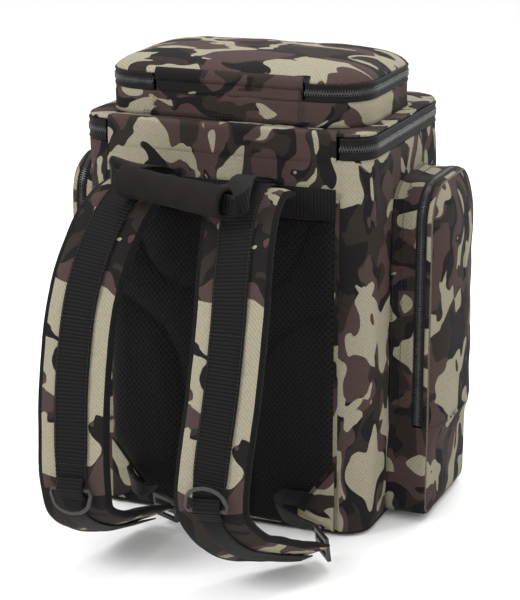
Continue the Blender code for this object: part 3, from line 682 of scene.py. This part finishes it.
def lid():
    low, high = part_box("main_lid")
    path = outline(low.x, high.x, low.y, high.y, BACK_RADIUS, FRONT_RADIUS)
    box = (low.x, high.x, low.y, high.y)
    profile = [(0.0, low.z + 0.0002), (0.0, high.z - 0.0016), (0.0007, high.z - 0.0005), (0.0018, high.z)]
    profile += [(0.0018 + 0.0045 * i, high.z) for i in range(1, 14)]
    rows, uvs = stacked(path, box, profile, lambda i, u, v, inset, z: (u, v if inset > 0.001 else v - 0.004))

    def relief(p, u, v):
        inside = min(HALF_WIDTH - abs(p.x), HALF_DEPTH - abs(p.y))
        return crumple(p, 0.035, 0.0007 * min(1.0, inside / 0.006), seed=2.0) - 0.0004

    looks = ["lid", "lining"]
    top = surface("main_lid_fabric", rows, uvs, looks, Vector((0, 0, 0.2)), cap=True, thick=FABRIC, relief=relief)
    finish_piece(top, "lid", "camo_fabric", "main_lid")
    fold_rows, fold_uvs = [], []
    xs = [-0.1335 + 0.0045 * i for i in range(60)]
    bend = [(-0.0012, RIM_Z - 0.0180), (0.0002, RIM_Z - 0.0165), (0.0005, RIM_Z - 0.0120), (0.0006, RIM_Z - 0.0060)]
    bend += [(0.0006, RIM_Z), (0.0006, RIM_Z + 0.0045), (0.0007, RIM_Z + 0.0095), (0.0006, RIM_Z + 0.0135)]
    bend += [(-0.0005, RIM_Z + 0.0160), (-0.0030, high.z + 0.0005), (-0.0080, high.z + 0.0005)]
    bend += [(-0.0130, high.z + 0.0002)]
    travelled = 0.0
    for k, (out, z) in enumerate(bend):
        if k:
            travelled += math.dist(bend[k], bend[k - 1])
        ripple = [0.0003 * noise.noise(Vector((x * 40, z * 90, 0))) for x in xs]
        fold_rows.append([Vector((x, -HALF_DEPTH - out - more, z)) for x, more in zip(xs, ripple)])
        fold_uvs.append([(x, RIM_Z - 0.0180 + travelled) for x in xs])
    inside = Vector((0, 0, 0.42))
    fold = surface("lid_fold", fold_rows, fold_uvs, ["body", "lining"], inside, loop=False, thick=0.0009)
    start, end = (0, -HALF_DEPTH, RIM_Z + 0.0085), (0, -HALF_DEPTH + 0.0035, RIM_Z + 0.0150)
    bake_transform(fold)
    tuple(start)
    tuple(end)


def top_pocket():
    low, high = TOP_LOW, TOP_HIGH
    box = (low.x, high.x, low.y, high.y)
    path = outline(*box, TOP_RADIUS, TOP_RADIUS)
    wall_top = TOP_ZIP_Z - 0.0098
    heights = [low.z + (wall_top - low.z) * i / 6 for i in range(7)]
    along = centred(lengths(path))
    rows = [[Vector((x, y, z)) for x, y in path[:-1]] for z in heights]
    uvs = [[(s, z) for s in along[:-1]] for z in heights]

    def relief(p, u, v):
        lift = crumple(p, 0.040, 0.0011, (1, 1, 1.6), 4.0) + groove(p.z - low.z, 0.003, -0.0012)
        if p.y < low.y + 0.01:
            lift += groove(abs(p.x) - TOP_ZIP_END, 0.002, 0.0012)
        return lift

    inside = Vector((0, -0.01, 0.47))
    walls = surface("top_pocket_wall_fabric", rows, uvs, ["lid", "lining"], inside, relief=relief)
    finish_piece(walls, "lid", "camo_fabric", "top_pocket_walls")
    back = sorted(p for p in path[:-1] if p[1] < low.y + 1e-5 and abs(p[0]) < TOP_ZIP_END - 0.0005)
    steps = [wall_top - 0.001 + (high.z - wall_top + 0.0005) * i / 5 for i in range(6)]
    back_top = surface("top_pocket_back_top", *flat_strip(back, steps), ["lid", "lining"], inside, loop=False)
    finish_piece(back_top, "lid", "camo_fabric")
    first = next(i for i, p in enumerate(path) if p[0] > TOP_ZIP_END - 0.002)
    last = next(i for i in range(len(path) - 1, 0, -1) if path[i][0] < -TOP_ZIP_END + 0.002)
    walk = path[first : last + 1]
    zip_half("top_zip_lower_row", level_path(walk, TOP_ZIP_Z, -1), "lid", "top_zip_lower", 0.0094, 0)
    zip_half("top_zip_upper_row", level_path(walk, TOP_ZIP_Z, 1), "top_lid", "top_zip_upper", 0.0094, 1)

    edge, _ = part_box("top_pocket_lid")
    profile = [(0.0, edge.z), (0.0006, edge.z + 0.0020), (0.004, edge.z + 0.0058), (0.010, edge.z + 0.0095)]
    profile += [(0.018, edge.z + 0.0128), (0.028, edge.z + 0.0155), (0.040, edge.z + 0.0176)]
    profile += [(0.053, edge.z + 0.0190), (0.066, edge.z + 0.0197)]
    profile += [(0.080, edge.z + 0.0200), (0.094, edge.z + 0.0200)]
    rows, uvs = stacked(path, box, profile, lambda i, u, v, inset, z: (u, v + 0.3))

    def dome_relief(p, u, v):
        depth = min(1.0, (p.z - edge.z) / 0.006)
        return crumple(p, 0.050, 0.0016 * depth, (0.8, 1, 1), 6.0) - 0.0006

    looks = ["lid", "lining"]
    dome = surface("top_pocket_lid_fabric", rows, uvs, looks, Vector((0, 0, 0.4)), cap=True, relief=dome_relief)
    finish_piece(dome, "top_lid", "camo_fabric", "top_pocket_lid")
    fold_rows, fold_uvs = [], []
    xs = [-0.0860 + 0.0043 * i for i in range(41)]
    z0 = TOP_ZIP_Z
    for out, up in ((0.0005, 0.0020), (0.0006, 0.0070), (0.0005, 0.0100), (-0.0001, 0.0125), (-0.0035, 0.0162)):
        z = z0 + up
        fold_rows.append([Vector((x, low.y - out, z)) for x in xs])
        fold_uvs.append([(x, z) for x in xs])
    fold = surface("top_lid_fold", fold_rows, fold_uvs, ["lid", "lining"], inside, loop=False, thick=0.0008)
    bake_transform(fold)
    out = Vector((0, -1, 0))
    for i, z in enumerate((low.z + 0.0022, low.z + 0.0046)):
        line = [Vector((x, low.y - 0.0016, z)) for x in (-0.10, -0.05, 0.0, 0.05, 0.10)]
        stitches(f"top_pocket_foot_stitch_{i}", line, [out] * 5, "lid")
    for side in (-1, 1):
        for i, shift in enumerate((-0.0022, 0.0022)):
            x = side * TOP_ZIP_END + shift - side * 0.003
            line = [Vector((x, low.y - 0.0014, low.z + 0.006)), Vector((x, low.y - 0.0014, z0 + 0.004))]
            stitches(f"top_pocket_seam_{'left' if side < 0 else 'right'}_{i}", line, [out] * 2, "lid")


# ------------------------------------------------------------ pockets on the walls


def split_faces(obj, keep, name):
    """A copy of obj that holds only the faces whose middle passes keep."""
    mesh = obj.data.copy()
    copy = bpy.data.objects.new(name, mesh)
    bpy.context.scene.collection.objects.link(copy)
    work = bmesh.new()
    work.from_mesh(mesh)
    drop = [f for f in work.faces if not keep(f.calc_center_median())]
    bmesh.ops.delete(work, geom=drop, context="FACES")
    work.to_mesh(mesh)
    work.free()
    return copy


def wall_pocket(prefix, place, base, look):
    """A pocket: its gusset and cup in one piece, its flap in another, with a zip between them."""
    shell_low, shell_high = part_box(prefix + "_pocket_shell")
    flap_low, flap_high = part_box(prefix + "_flap")
    if prefix == "front":
        u0, u1, crown = shell_low.x, shell_high.x, flap_high.y
        open_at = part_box("front_zip_inner")[0].y - 0.0003
    else:
        u0, u1, crown = shell_low.y, shell_high.y, max(abs(flap_low.x), abs(flap_high.x))
        zip_low, zip_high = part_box(prefix + "_zip_inner")
        open_at = min(abs(zip_low.x), abs(zip_high.x)) - 0.0003
    v0, v1 = shell_low.z, shell_high.z
    slit = open_at + 0.0003 + SIDE_TAPE + ZIP_HALF_GAP
    lip = slit + ZIP_HALF_GAP + SIDE_TAPE + 0.0003
    face = lip + 0.0065
    bulge = crown - face
    box = (u0, u1, v0, v1)
    path = outline(*box, FOOT_RADIUS, POCKET_RADIUS)
    gusset = [base + 0.0004 + (open_at - base - 0.0004) * i / 6 for i in range(7)]
    profile = [(0.0, w) for w in gusset]
    profile += [(0.0, lip), (0.0002, lip + 0.0022), (0.0010, face - 0.0018), (0.0026, face)]
    profile += [(0.0055, face + 0.16 * bulge), (0.010, face + 0.32 * bulge), (0.016, face + 0.50 * bulge)]
    profile += [(0.023, face + 0.67 * bulge), (0.031, face + 0.81 * bulge), (0.040, face + 0.92 * bulge)]
    profile += [(0.050, face + 0.98 * bulge), (0.061, face + bulge), (0.072, face + bulge)]
    along = lengths(path)

    def uv(i, u, v, inset, w):
        return (along[i] * 0.8 + 2.0, w) if inset < 0.002 else (u, v)

    rows, uvs = stacked(path, box, profile, uv, place)
    inside = place((u0 + u1) / 2, (v0 + v1) / 2, base)
    whole = surface(prefix + "_pocket_form", rows, uvs, [look, "lining"], inside, cap=True, thick=0)
    work = bmesh.new()
    work.from_mesh(whole.data)
    whole_mesh = work.verts[:] + work.edges[:] + work.faces[:]
    bmesh.ops.bisect_plane(work, geom=whole_mesh, plane_co=(0, 0, HINGE_Z), plane_no=(0, 0, 1))
    work.to_mesh(whole.data)
    work.free()

    def depth_of(p):
        return abs(p.x) if prefix != "front" else p.y

    def along_of(p):
        return p.x if prefix == "front" else p.y

    def relief(p):
        w, u = depth_of(p), along_of(p)
        edge = min(u - u0, u1 - u, p.z - v0, v1 - p.z)
        seed = {"right": 1.0, "left": 12.0, "front": 23.0}[prefix]
        if w > face - 0.001:
            lift = crumple(p, 0.055, 0.0024, (1, 1, 0.7), seed) * min(1.0, max(edge, 0) / 0.02)
            if p.z < HINGE_Z:
                lift -= 0.010 * bulge / 0.0135 * min(1.0, (HINGE_Z - p.z) / 0.03) * min(1.0, max(edge, 0) / 0.03)
            return lift - 0.0004 + groove(p.z - HINGE_Z, 0.003, 0.0012)
        free = min(1.0, max(0.0, (w - base) / 0.008)) * min(1.0, max(0.0, abs(w - slit) - 0.004) / 0.006)
        lift = crumple(p, 0.035, 0.0016 * free, (1, 1, 0.8), seed + 3) + groove(w - base - 0.013, 0.0012, 0.0010)
        return lift * free

    normals = [v.normal.copy() for v in whole.data.vertices]
    for vertex, normal in zip(whole.data.vertices, normals):
        pinned = abs(vertex.co.z - HINGE_Z) < 0.0002
        vertex.co += normal * (0.0 if pinned else relief(vertex.co))

    def is_flap(c):
        return depth_of(c) > lip - 0.0004 and c.z > HINGE_Z

    def is_shell(c):
        return c.z < HINGE_Z or depth_of(c) < open_at + 0.0004

    flap = split_faces(whole, is_flap, prefix + "_flap_fabric")
    shell = split_faces(whole, is_shell, prefix + "_pocket_fabric")
    bpy.data.objects.remove(whole)
    for piece in (flap, shell):
        wall = piece.modifiers.new("lining", "SOLIDIFY")
        wall.thickness, wall.offset = POCKET_FABRIC, -1.0
        wall.material_offset = wall.material_offset_rim = 1
    finish_piece(flap, prefix + "_pocket_flap", "camo_fabric", prefix + "_flap")
    finish_piece(shell, "bag", "camo_fabric", prefix + "_pocket_shell")

    ring = outline(*box, FOOT_RADIUS, POCKET_RADIUS, 0.0035)
    middle = len(ring) // 2
    start = next(i for i in range(middle) if ring[i][1] > HINGE_Z + 0.002)
    stop = next(i for i in range(len(ring) - 1, middle, -1) if ring[i][1] > HINGE_Z + 0.002)
    walk = ring[start : stop + 1]
    for row, sign, body in (("inner", -1, "bag"), ("outer", 1, prefix + "_pocket_flap")):
        route = []
        for i, (u, v) in enumerate(walk):
            a, b = walk[max(i - 1, 0)], walk[min(i + 1, len(walk) - 1)]
            way = Vector((b[0] - a[0], b[1] - a[1])).normalized()
            out = place(way.y, -way.x, 0.0)
            route.append((place(u, v, slit), out, place(0, 0, 1) * sign))
        tape = SIDE_TAPE + 0.0010
        zip_half(f"{prefix}_zip_{row}_row", route, body, f"{prefix}_zip_{row}", tape, 0 if sign < 0 else 1)
    for i, w in enumerate((base + 0.0055, base + 0.0160)):
        line, out = [], []
        for k in range(start, stop + 1):
            a, b = ring[k - 1], ring[k + 1]
            way = Vector((b[0] - a[0], b[1] - a[1])).normalized()
            out.append(place(way.y, -way.x, 0.0))
            line.append(place(*ring[k], w) + out[-1] * 0.0006)
        stitches(f"{prefix}_gusset_stitch_{i}", line, out, "bag")


# ------------------------------------------------------------ straps

UPPER_STOPS = [
    ((0.052, -0.1462, 0.3840), (1.0, 0.00, 0.0)),
    ((0.056, -0.1650, 0.3920), (1.0, -0.02, 0.0)),
    ((0.062, -0.2050, 0.3955), (1.0, -0.04, 0.0)),
    ((0.070, -0.2480, 0.3760), (1.0, -0.04, 0.0)),
    ((0.078, -0.2820, 0.3340), (1.0, -0.02, 0.0)),
    ((0.083, -0.3040, 0.2850), (1.0, 0.0, 0.0)),
    ((0.083, -0.3240, 0.2150), (1.0, 0.0, 0.0)),
    ((0.079, -0.3380, 0.1500), (1.0, 0.0, 0.0)),
    ((0.077, -0.3410, 0.1050), (1.0, 0.0, 0.0)),
]
RIGHT_END = [
    ((0.0850, -0.3340, 0.0780), (0.92, -0.15, 0.38), 0.082, 0.013),
    ((0.0980, -0.3110, 0.0540), (0.78, -0.35, 0.55), 0.080, 0.013),
    ((0.1130, -0.2800, 0.0390), (0.66, -0.50, 0.58), 0.074, 0.013),
    ((0.1310, -0.2510, 0.0285), (0.60, -0.55, 0.56), 0.064, 0.012),
    ((0.1480, -0.2270, 0.0230), (0.50, -0.65, 0.52), 0.052, 0.008),
]
LEFT_END = [
    ((-0.0740, -0.3340, 0.0740), (0.95, -0.15, 0.32), 0.082, 0.013),
    ((-0.0640, -0.2990, 0.0510), (0.84, -0.30, 0.46), 0.078, 0.013),
    ((-0.0590, -0.2420, 0.0350), (0.80, -0.36, 0.50), 0.070, 0.012),
    ((-0.0530, -0.1980, 0.0250), (0.84, -0.38, 0.42), 0.052, 0.008),
]
RIGHT_LOOP = [
    ((0.1080, -0.1425, 0.0380), (0.45, 0.0, 0.89)),
    ((0.0960, -0.1480, 0.0440), (0.45, -0.30, 0.84)),
    ((0.0840, -0.1600, 0.0470), (0.20, -0.50, 0.84)),
    ((0.0830, -0.1760, 0.0440), (-0.10, -0.45, 0.88)),
    ((0.0960, -0.1860, 0.0390), (-0.10, -0.45, 0.88)),
    ((0.1190, -0.1960, 0.0380), (0.10, -0.60, 0.79)),
    ((0.1350, -0.1990, 0.0400), (0.30, -0.80, 0.52)),
]
LEFT_LOOP = [
    ((-0.1080, -0.1425, 0.0380), (-0.45, 0.0, 0.89)),
    ((-0.1030, -0.1540, 0.0440), (-0.45, 0.20, 0.87)),
    ((-0.0970, -0.1700, 0.0460), (-0.30, 0.10, 0.94)),
    ((-0.0860, -0.1800, 0.0430), (-0.05, -0.30, 0.95)),
    ((-0.0760, -0.1800, 0.0400), (0.20, -0.50, 0.84)),
    ((-0.0640, -0.1700, 0.0420), (0.45, -0.70, 0.55)),
]
PAD_WIDTH, PAD_THICK = 0.082, 0.013
RING_STOP = 8
FINE = 36  # places for each span of a strap's sewn webbing
# The fold of webbing that holds a D-ring, as (way along the strap, height over the strap's middle).
TAB_FOLD = [(-0.0125, 0.0088), (-0.0060, 0.0128), (0.0, 0.0152), (0.0060, 0.0128), (0.0125, 0.0088)]


def with_size(stops, width, thick):
    return [(centre, side, width, thick) for centre, side in stops]


def mirrored(stops):
    return [((-c[0], *c[1:]), (s[0], -s[1], -s[2])) for c, s in stops]


def pad_section(wide, deep):
    """A foam pad: crowned outer face, bound edges, flatter mesh underside."""
    w, t = wide / 2, deep / 2
    top = [(w - 0.0055, t * 0.62), (w * 0.72, t * 0.90), (w * 0.50, t), (w * 0.25, t), (0.0, t)]
    top += [(-x, y) for x, y in reversed(top[:-1])]
    edge = [(-w + 0.0010, t * 0.55), (-w, t * 0.10), (-w + 0.0012, -t * 0.40)]
    under = [(-w + 0.0060, -t * 0.62), (-w * 0.6, -t * 0.95), (0.0, -t)]
    under += [(w * 0.6, -t * 0.95), (w - 0.0060, -t * 0.62)]
    return top + edge + under + [(-x, y) for x, y in reversed(edge)]


# The material of each side of that section: print on top, binding, mesh below, binding.
PAD_MARKS = [0] * 8 + [1] * 4 + [2] * 4 + [1] * 4


def shoulder_strap(side):
    name = "right" if side > 0 else "left"
    stops = UPPER_STOPS if side > 0 else mirrored(UPPER_STOPS)
    end = RIGHT_END if side > 0 else LEFT_END
    padded_stops = with_size(stops, PAD_WIDTH, PAD_THICK)
    padded_stops[0] = (*stops[0], PAD_WIDTH - 0.006, 0.006)
    places = frames(padded_stops + end, 10)
    total = places[-1][6]

    def relief(x, y, travelled, i):
        end_pinch = min(1.0, travelled / 0.03, (total - travelled) / 0.02)
        p = Vector((x * side, travelled, y * 4))
        fold = crumple(p, 0.030, 0.0012, (0.5, 1.0, 1), 3.0 * side)
        channel = groove(abs(x) - WEB / 2 - 0.001, 0.003, 0.0012) if y > 0 else 0.0
        squeeze = (1 - end_pinch) * -0.35 * y
        return (fold + channel) * end_pinch + squeeze

    pad = swept(name + "_strap_pad_fabric", places, pad_section, ["strap", "binding", "mesh"], PAD_MARKS, relief)
    finish_piece(pad, "bag", "camo_fabric", name + "_strap_pad")
    fine = frames(with_size(stops, WEB, 0.0018) + end[:1], FINE)
    lift = PAD_THICK / 2 + 0.0012
    sewn = slice(FINE, RING_STOP * FINE - 4)
    strip = webbing(name + "_strap_webbing_ribbed", fine[sewn], lift=lift)
    finish_piece(strip, "bag", "webbing", name + "_strap_webbing")
    narrow = with_size(stops + [stop[:2] for stop in end], NARROW_WEB, NARROW_THICK)
    tail = frames(narrow, 12)[RING_STOP * 12 + 2 : -6]
    low = webbing(name + "_lower_webbing_smooth", tail, "smooth_web", lift=lift + 0.0006, rib=0.0)
    finish_piece(low, "bag", "webbing", name + "_lower_webbing")
    for i, shift in enumerate((-WEB / 2 + 0.002, WEB / 2 - 0.002)):
        line = [c + a * shift + o * (lift + 0.0010) for c, a, o, *_ in fine[sewn][::6]]
        out = [o for _, _, o, *_ in fine[sewn][::6]]
        stitches(f"{name}_strap_stitch_{i}", line, out, "bag", "webbing")
    for i, at in enumerate((5.15, 7.4)):
        c, a, o, *_ = fine[round(at * FINE)]
        line = [c + a * x + o * (lift + 0.0013) for x in (-0.017, 0.0, 0.017)]
        stitches(f"{name}_strap_bar_{i}", line, [o] * 3, "bag", "webbing")
    loop = RIGHT_LOOP if side > 0 else LEFT_LOOP
    route = frames(with_size(loop, NARROW_WEB, NARROW_THICK), 12)
    adjuster = webbing(name + "_adjuster_strap", route, "smooth_web", rib=0.0)
    finish_piece(adjuster, "bag", "webbing", name + "_adjuster_webbing")
    c, a, o, along, *_ = fine[RING_STOP * FINE]
    fold = frames([(c + along * t + o * h, a, 0.030, NARROW_THICK) for t, h in TAB_FOLD], 8)
    finish_piece(webbing(name + "_ring_tab_ribbed", fold), "bag", "webbing", name + "_d_ring_tab")


# ------------------------------------------------------------ back panel


# One side's sewn lines on the back pad, as (distance from the middle, height): an arch between the shoulders, and
# a line that falls from the edge towards the middle and runs down to the foot.
PAD_LINES = [
    [(0.105, 0.357), (0.092, 0.315), (0.080, 0.292), (0.060, 0.275), (0.035, 0.268), (0.0, 0.266)],
    [(0.137, 0.262), (0.115, 0.253), (0.094, 0.240), (0.067, 0.220), (0.050, 0.190), (0.041, 0.140), (0.040, 0.010)],
]


def back_panel():
    low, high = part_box("back_pad")
    half, top, foot = high.x, high.z, low.z
    chamfer, step = 0.0405, 0.0745
    corners = [(0, foot), (half - chamfer, foot), (half - chamfer, foot + 0.0215), (half, foot + step), (half, top)]
    corners += [(-half, top), (-half, foot + step), (-half + chamfer, foot + 0.0215)]
    corners += [(-half + chamfer, foot), (0, foot)]
    path = [corners[0]]
    for a, b in zip(corners, corners[1:]):
        pieces = max(1, round(math.dist(a, b) / 0.004))
        path += [(a[0] + (b[0] - a[0]) * i / pieces, a[1] + (b[1] - a[1]) * i / pieces) for i in range(1, pieces + 1)]
    base, face = -high.y, -low.y
    middle = (foot + top) / 2
    rows, uvs = [], []
    profile = [(1.0, base + 0.0003), (1.0, base + 0.0025), (0.992, base + 0.0045), (0.975, base + 0.0066)]
    profile += [(0.95, base + 0.0084), (0.92, base + 0.0098), (0.88, base + 0.0107)]
    profile += [(0.88 - 0.028 * i, base + 0.0112) for i in range(1, 29)]
    for scale, w in profile:
        walk = [(u * scale, middle + (v - middle) * scale) for u, v in path[:-1]]
        rows.append([Vector((u, -w, v)) for u, v in walk])
        uvs.append(walk)

    def channel(x, z):
        """How far the nearest sewn line of the pad is."""
        p = Vector((abs(x), z, 0))
        nearest = 1.0
        for line in PAD_LINES:
            for a, b in zip(line, line[1:]):
                a, b = Vector((*a, 0)), Vector((*b, 0))
                t = max(0.0, min(1.0, (p - a).dot(b - a) / (b - a).length_squared))
                nearest = min(nearest, (p - a.lerp(b, t)).length)
        return nearest

    def relief(p, u, v):
        deep = min(1.0, (-p.y - base) / 0.011)
        d = channel(p.x, p.z)
        sewn = groove(d, 0.0032, 0.0030) + groove(d, 0.0130, 0.0042)
        return (sewn + crumple(p, 0.05, 0.0012, seed=8.0)) * deep

    pad = surface("back_pad_mesh", rows, uvs, ["mesh"], Vector((0, 0, 0.19)), cap=True, thick=0, relief=relief)
    finish_piece(pad, "bag", "air_mesh", "back_pad")
    low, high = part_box("back_top_band")
    y, z, width = low.y - 0.0001, (low.z + high.z) / 2, high.z - low.z
    stops = [((x, y, z), (0, 0, 1), width, 0.0018) for x in (-0.133, -0.07, 0, 0.07, 0.133)]
    band = webbing("back_band_ribbed", frames(stops, 30))
    finish_piece(band, "bag", "webbing", "back_top_band")


def wings():
    for name, sign in (("right", 1), ("left", -1)):
        top, tip, notch, bottom = map(Vector, ((0.1350, 0.079), (0.0960, 0.030), (0.1000, 0.022), (0.1350, 0.006)))
        rows, uvs = [], []
        for i in range(13):
            t = i / 12
            left = top.lerp(tip, t * 1.25) if t < 0.8 else tip.lerp(notch, (t - 0.8) * 5)
            right = top.lerp(bottom, t)
            row = [left.lerp(right, k / 8) for k in range(9)]
            puff = [0.0036 + 0.0010 * math.sin(math.pi * k / 8) * math.sin(math.pi * t) for k in range(9)]
            rows.append([Vector((sign * q.x, -HALF_DEPTH - 0.0003 - d, q.y)) for q, d in zip(row, puff)])
            uvs.append([(q.x + 0.4 * sign, q.y) for q in row])
        inside = Vector((sign * 0.12, 0, 0.04))
        wing = surface(name + "_wing_fabric", rows, uvs, ["body", "tape"], inside, loop=False, thick=FABRIC)
        finish_piece(wing, "bag", "camo_fabric", name + "_anchor_wing")
        line = [Vector((sign * 0.1080, -HALF_DEPTH - 0.0052, z)) for z in (0.0260, 0.0320, 0.0380, 0.0420)]
        stitches(name + "_wing_stitch", line, [Vector((0, -1, 0))] * 4, "bag")


# ------------------------------------------------------------ handle

HANDLE_STOPS = [
    ((0.0500, -0.1375, 0.3985), (1.0, 0.0, 0.0), 0.034, 0.0018),
    ((0.0500, -0.1660, 0.4075), (1.0, 0.0, 0.0), 0.034, 0.0018),
    ((0.0570, -0.2050, 0.4120), (0.95, -0.1, 0.25), 0.034, 0.0018),
    ((0.0740, -0.2420, 0.4130), (0.65, 0.0, 0.75), 0.030, 0.0018),
    ((0.0850, -0.2610, 0.4080), (0.1, 0.0, 1.0), 0.024, 0.002),
    ((0.0785, -0.2735, 0.4025), (0.0, 0.0, 1.0), 0.021, 0.002),
    ((0.0610, -0.2708, 0.4030), (0.0, 0.0, 1.0), 0.019, 0.003),
    ((-0.0580, -0.2493, 0.4110), (0.0, 0.0, 1.0), 0.019, 0.003),
    ((-0.0750, -0.2430, 0.4125), (0.0, 0.0, 1.0), 0.021, 0.002),
    ((-0.0830, -0.2260, 0.4165), (-0.3, 0.1, 1.0), 0.022, 0.002),
    ((-0.0800, -0.1980, 0.4165), (-0.9, 0.0, 0.35), 0.030, 0.0018),
    ((-0.0700, -0.1650, 0.4085), (-1.0, 0.0, 0.0), 0.034, 0.0018),
    ((-0.0660, -0.1375, 0.3985), (-1.0, 0.0, 0.0), 0.034, 0.0018),
]


def handle():
    strip = webbing("handle_webbing_ribbed", frames(HANDLE_STOPS, 14), rib=0.0)
    finish_piece(strip, "carry_handle", "webbing", "handle_webbing")
    centre, way = Vector((0.0014, -0.2600, 0.4070)), Vector((0.1256, -0.0226, -0.0084)).normalized()
    half, radius, bore = 0.064, 0.0165, 0.0118
    across = way.cross(Vector((0, 0, 1))).normalized()
    up = across.cross(way)
    profile = [(-half + 0.004, bore), (-half + 0.0004, bore + 0.0004), (-half, bore + 0.0018)]
    profile += [(-half + 0.0002, radius - 0.0016), (-half + 0.0014, radius - 0.0003)]
    span = 2 * half - 0.006
    profile += [(-half + 0.003 + span * i / 24, radius + 0.0002 * math.sin(i * 1.3)) for i in range(25)]
    profile += [(half - 0.0014, radius - 0.0003), (half - 0.0002, radius - 0.0016), (half, bore + 0.0018)]
    profile += [(half - 0.0004, bore + 0.0004), (half - 0.004, bore)]
    profile += [(half * (1 - 0.25 * i), bore) for i in range(1, 8)]
    points, faces, uvs = [], [], []
    sides = 40
    for t, r in profile:
        for k in range(sides):
            a = 2 * math.pi * k / sides
            squash = 1.0 + 0.03 * math.cos(2 * a + 40 * t)
            points.append(centre + way * t + (across * math.cos(a) + up * math.sin(a)) * r * squash)
            uvs.append((t, a * r))
    rows = len(profile)
    for i in range(rows):
        for k in range(sides):
            m = (k + 1) % sides
            a, b = i * sides, (i + 1) % rows * sides
            faces.append((a + k, a + m, b + m, b + k))
    grip = outward(mesh_object("handle_grip_foam", points, faces, uvs, ["foam"]))
    finish_piece(grip, "carry_handle", "foam_grip", "handle_grip")


# ------------------------------------------------------------ carried-over CAD nodes


def carried_over():
    """New materials and small bevels for the hardware and boards that keep their CAD shape."""
    for name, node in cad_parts.items():
        look = None
        if name.endswith(("_slider", "_pull")):
            look = "metal"
        elif name.endswith(("d_ring", "ladder_lock")):
            look = "plastic"
        elif name in ("base_board", "back_stiffener"):
            look = "board"
        if look is None:
            continue
        node.data.materials.clear()
        node.data.materials.append(LOOKS[look])
        bevel = node.modifiers.new("soft_edges", "BEVEL")
        bevel.width = 0.0004 if look == "metal" else 0.0006
        bevel.segments = 2
        bevel.limit_method = "ANGLE"
        node.data.shade_smooth()


# ------------------------------------------------------------ studio


def studio():
    floor = bpy.data.meshes.new("floor")
    reach = 14.0
    corners = [(-reach, -reach, 0), (reach, -reach, 0), (reach, reach, 0), (-reach, reach, 0)]
    floor.from_pydata(corners, [], [(0, 1, 2, 3)])
    plain = Nodes("floor_pale", 0.8)
    floor.materials.append(plain.finish((0.93, 0.93, 0.93)))
    ground = bpy.data.objects.new("floor", floor)
    bpy.context.scene.collection.objects.link(ground)
    ground.location.z = -0.0005
    world = bpy.data.worlds.new("studio")
    world.use_nodes = True
    world.node_tree.nodes["Background"].inputs[0].default_value = (1.0, 1.0, 1.0, 1.0)
    world.node_tree.nodes["Background"].inputs[1].default_value = 1.0
    bpy.context.scene.world = world
    bpy.context.scene.view_settings.view_transform = "Standard"
    for name, place, size, power in (
        ("key", (-1.3, -1.9, 2.1), 1.2, 48.0),
        ("fill", (2.0, -1.4, 1.1), 1.6, 12.0),
        ("top", (0.2, 0.3, 2.4), 1.4, 26.0),
        ("rim", (0.6, 2.2, 1.4), 1.2, 22.0),
    ):
        lamp = bpy.data.lights.new(name, "AREA")
        lamp.energy, lamp.size = power, size
        light = bpy.data.objects.new(name, lamp)
        light.location = place
        light.rotation_euler = (Vector((0, 0, 0.25)) - Vector(place)).to_track_quat("-Z", "Y").to_euler()
        bpy.context.scene.collection.objects.link(light)


def camera():
    azimuth, elevation, distance = math.radians(22.0), math.radians(16.4), 2.3
    target = Vector((-0.0025, -0.014, 0.2245))
    level = math.cos(elevation)
    way = Vector((-math.sin(azimuth) * level, math.cos(azimuth) * level, -math.sin(elevation)))
    data = bpy.data.cameras.new("camera")
    data.sensor_width, data.lens = 36.0, 119.5
    eye = bpy.data.objects.new("camera", data)
    eye.location = target - way * distance
    eye.rotation_euler = way.to_track_quat("-Z", "Y").to_euler()
    bpy.context.scene.collection.objects.link(eye)
    bpy.context.scene.camera = eye


main_compartment()
lid()
top_pocket()
wall_pocket("right", place_right, HALF_WIDTH, "pocket")
wall_pocket("left", place_left, HALF_WIDTH, "pocket")
wall_pocket("front", place_front, HALF_DEPTH, "front")
shoulder_strap(1)
shoulder_strap(-1)
back_panel()
wings()
handle()
carried_over()
studio()
camera()
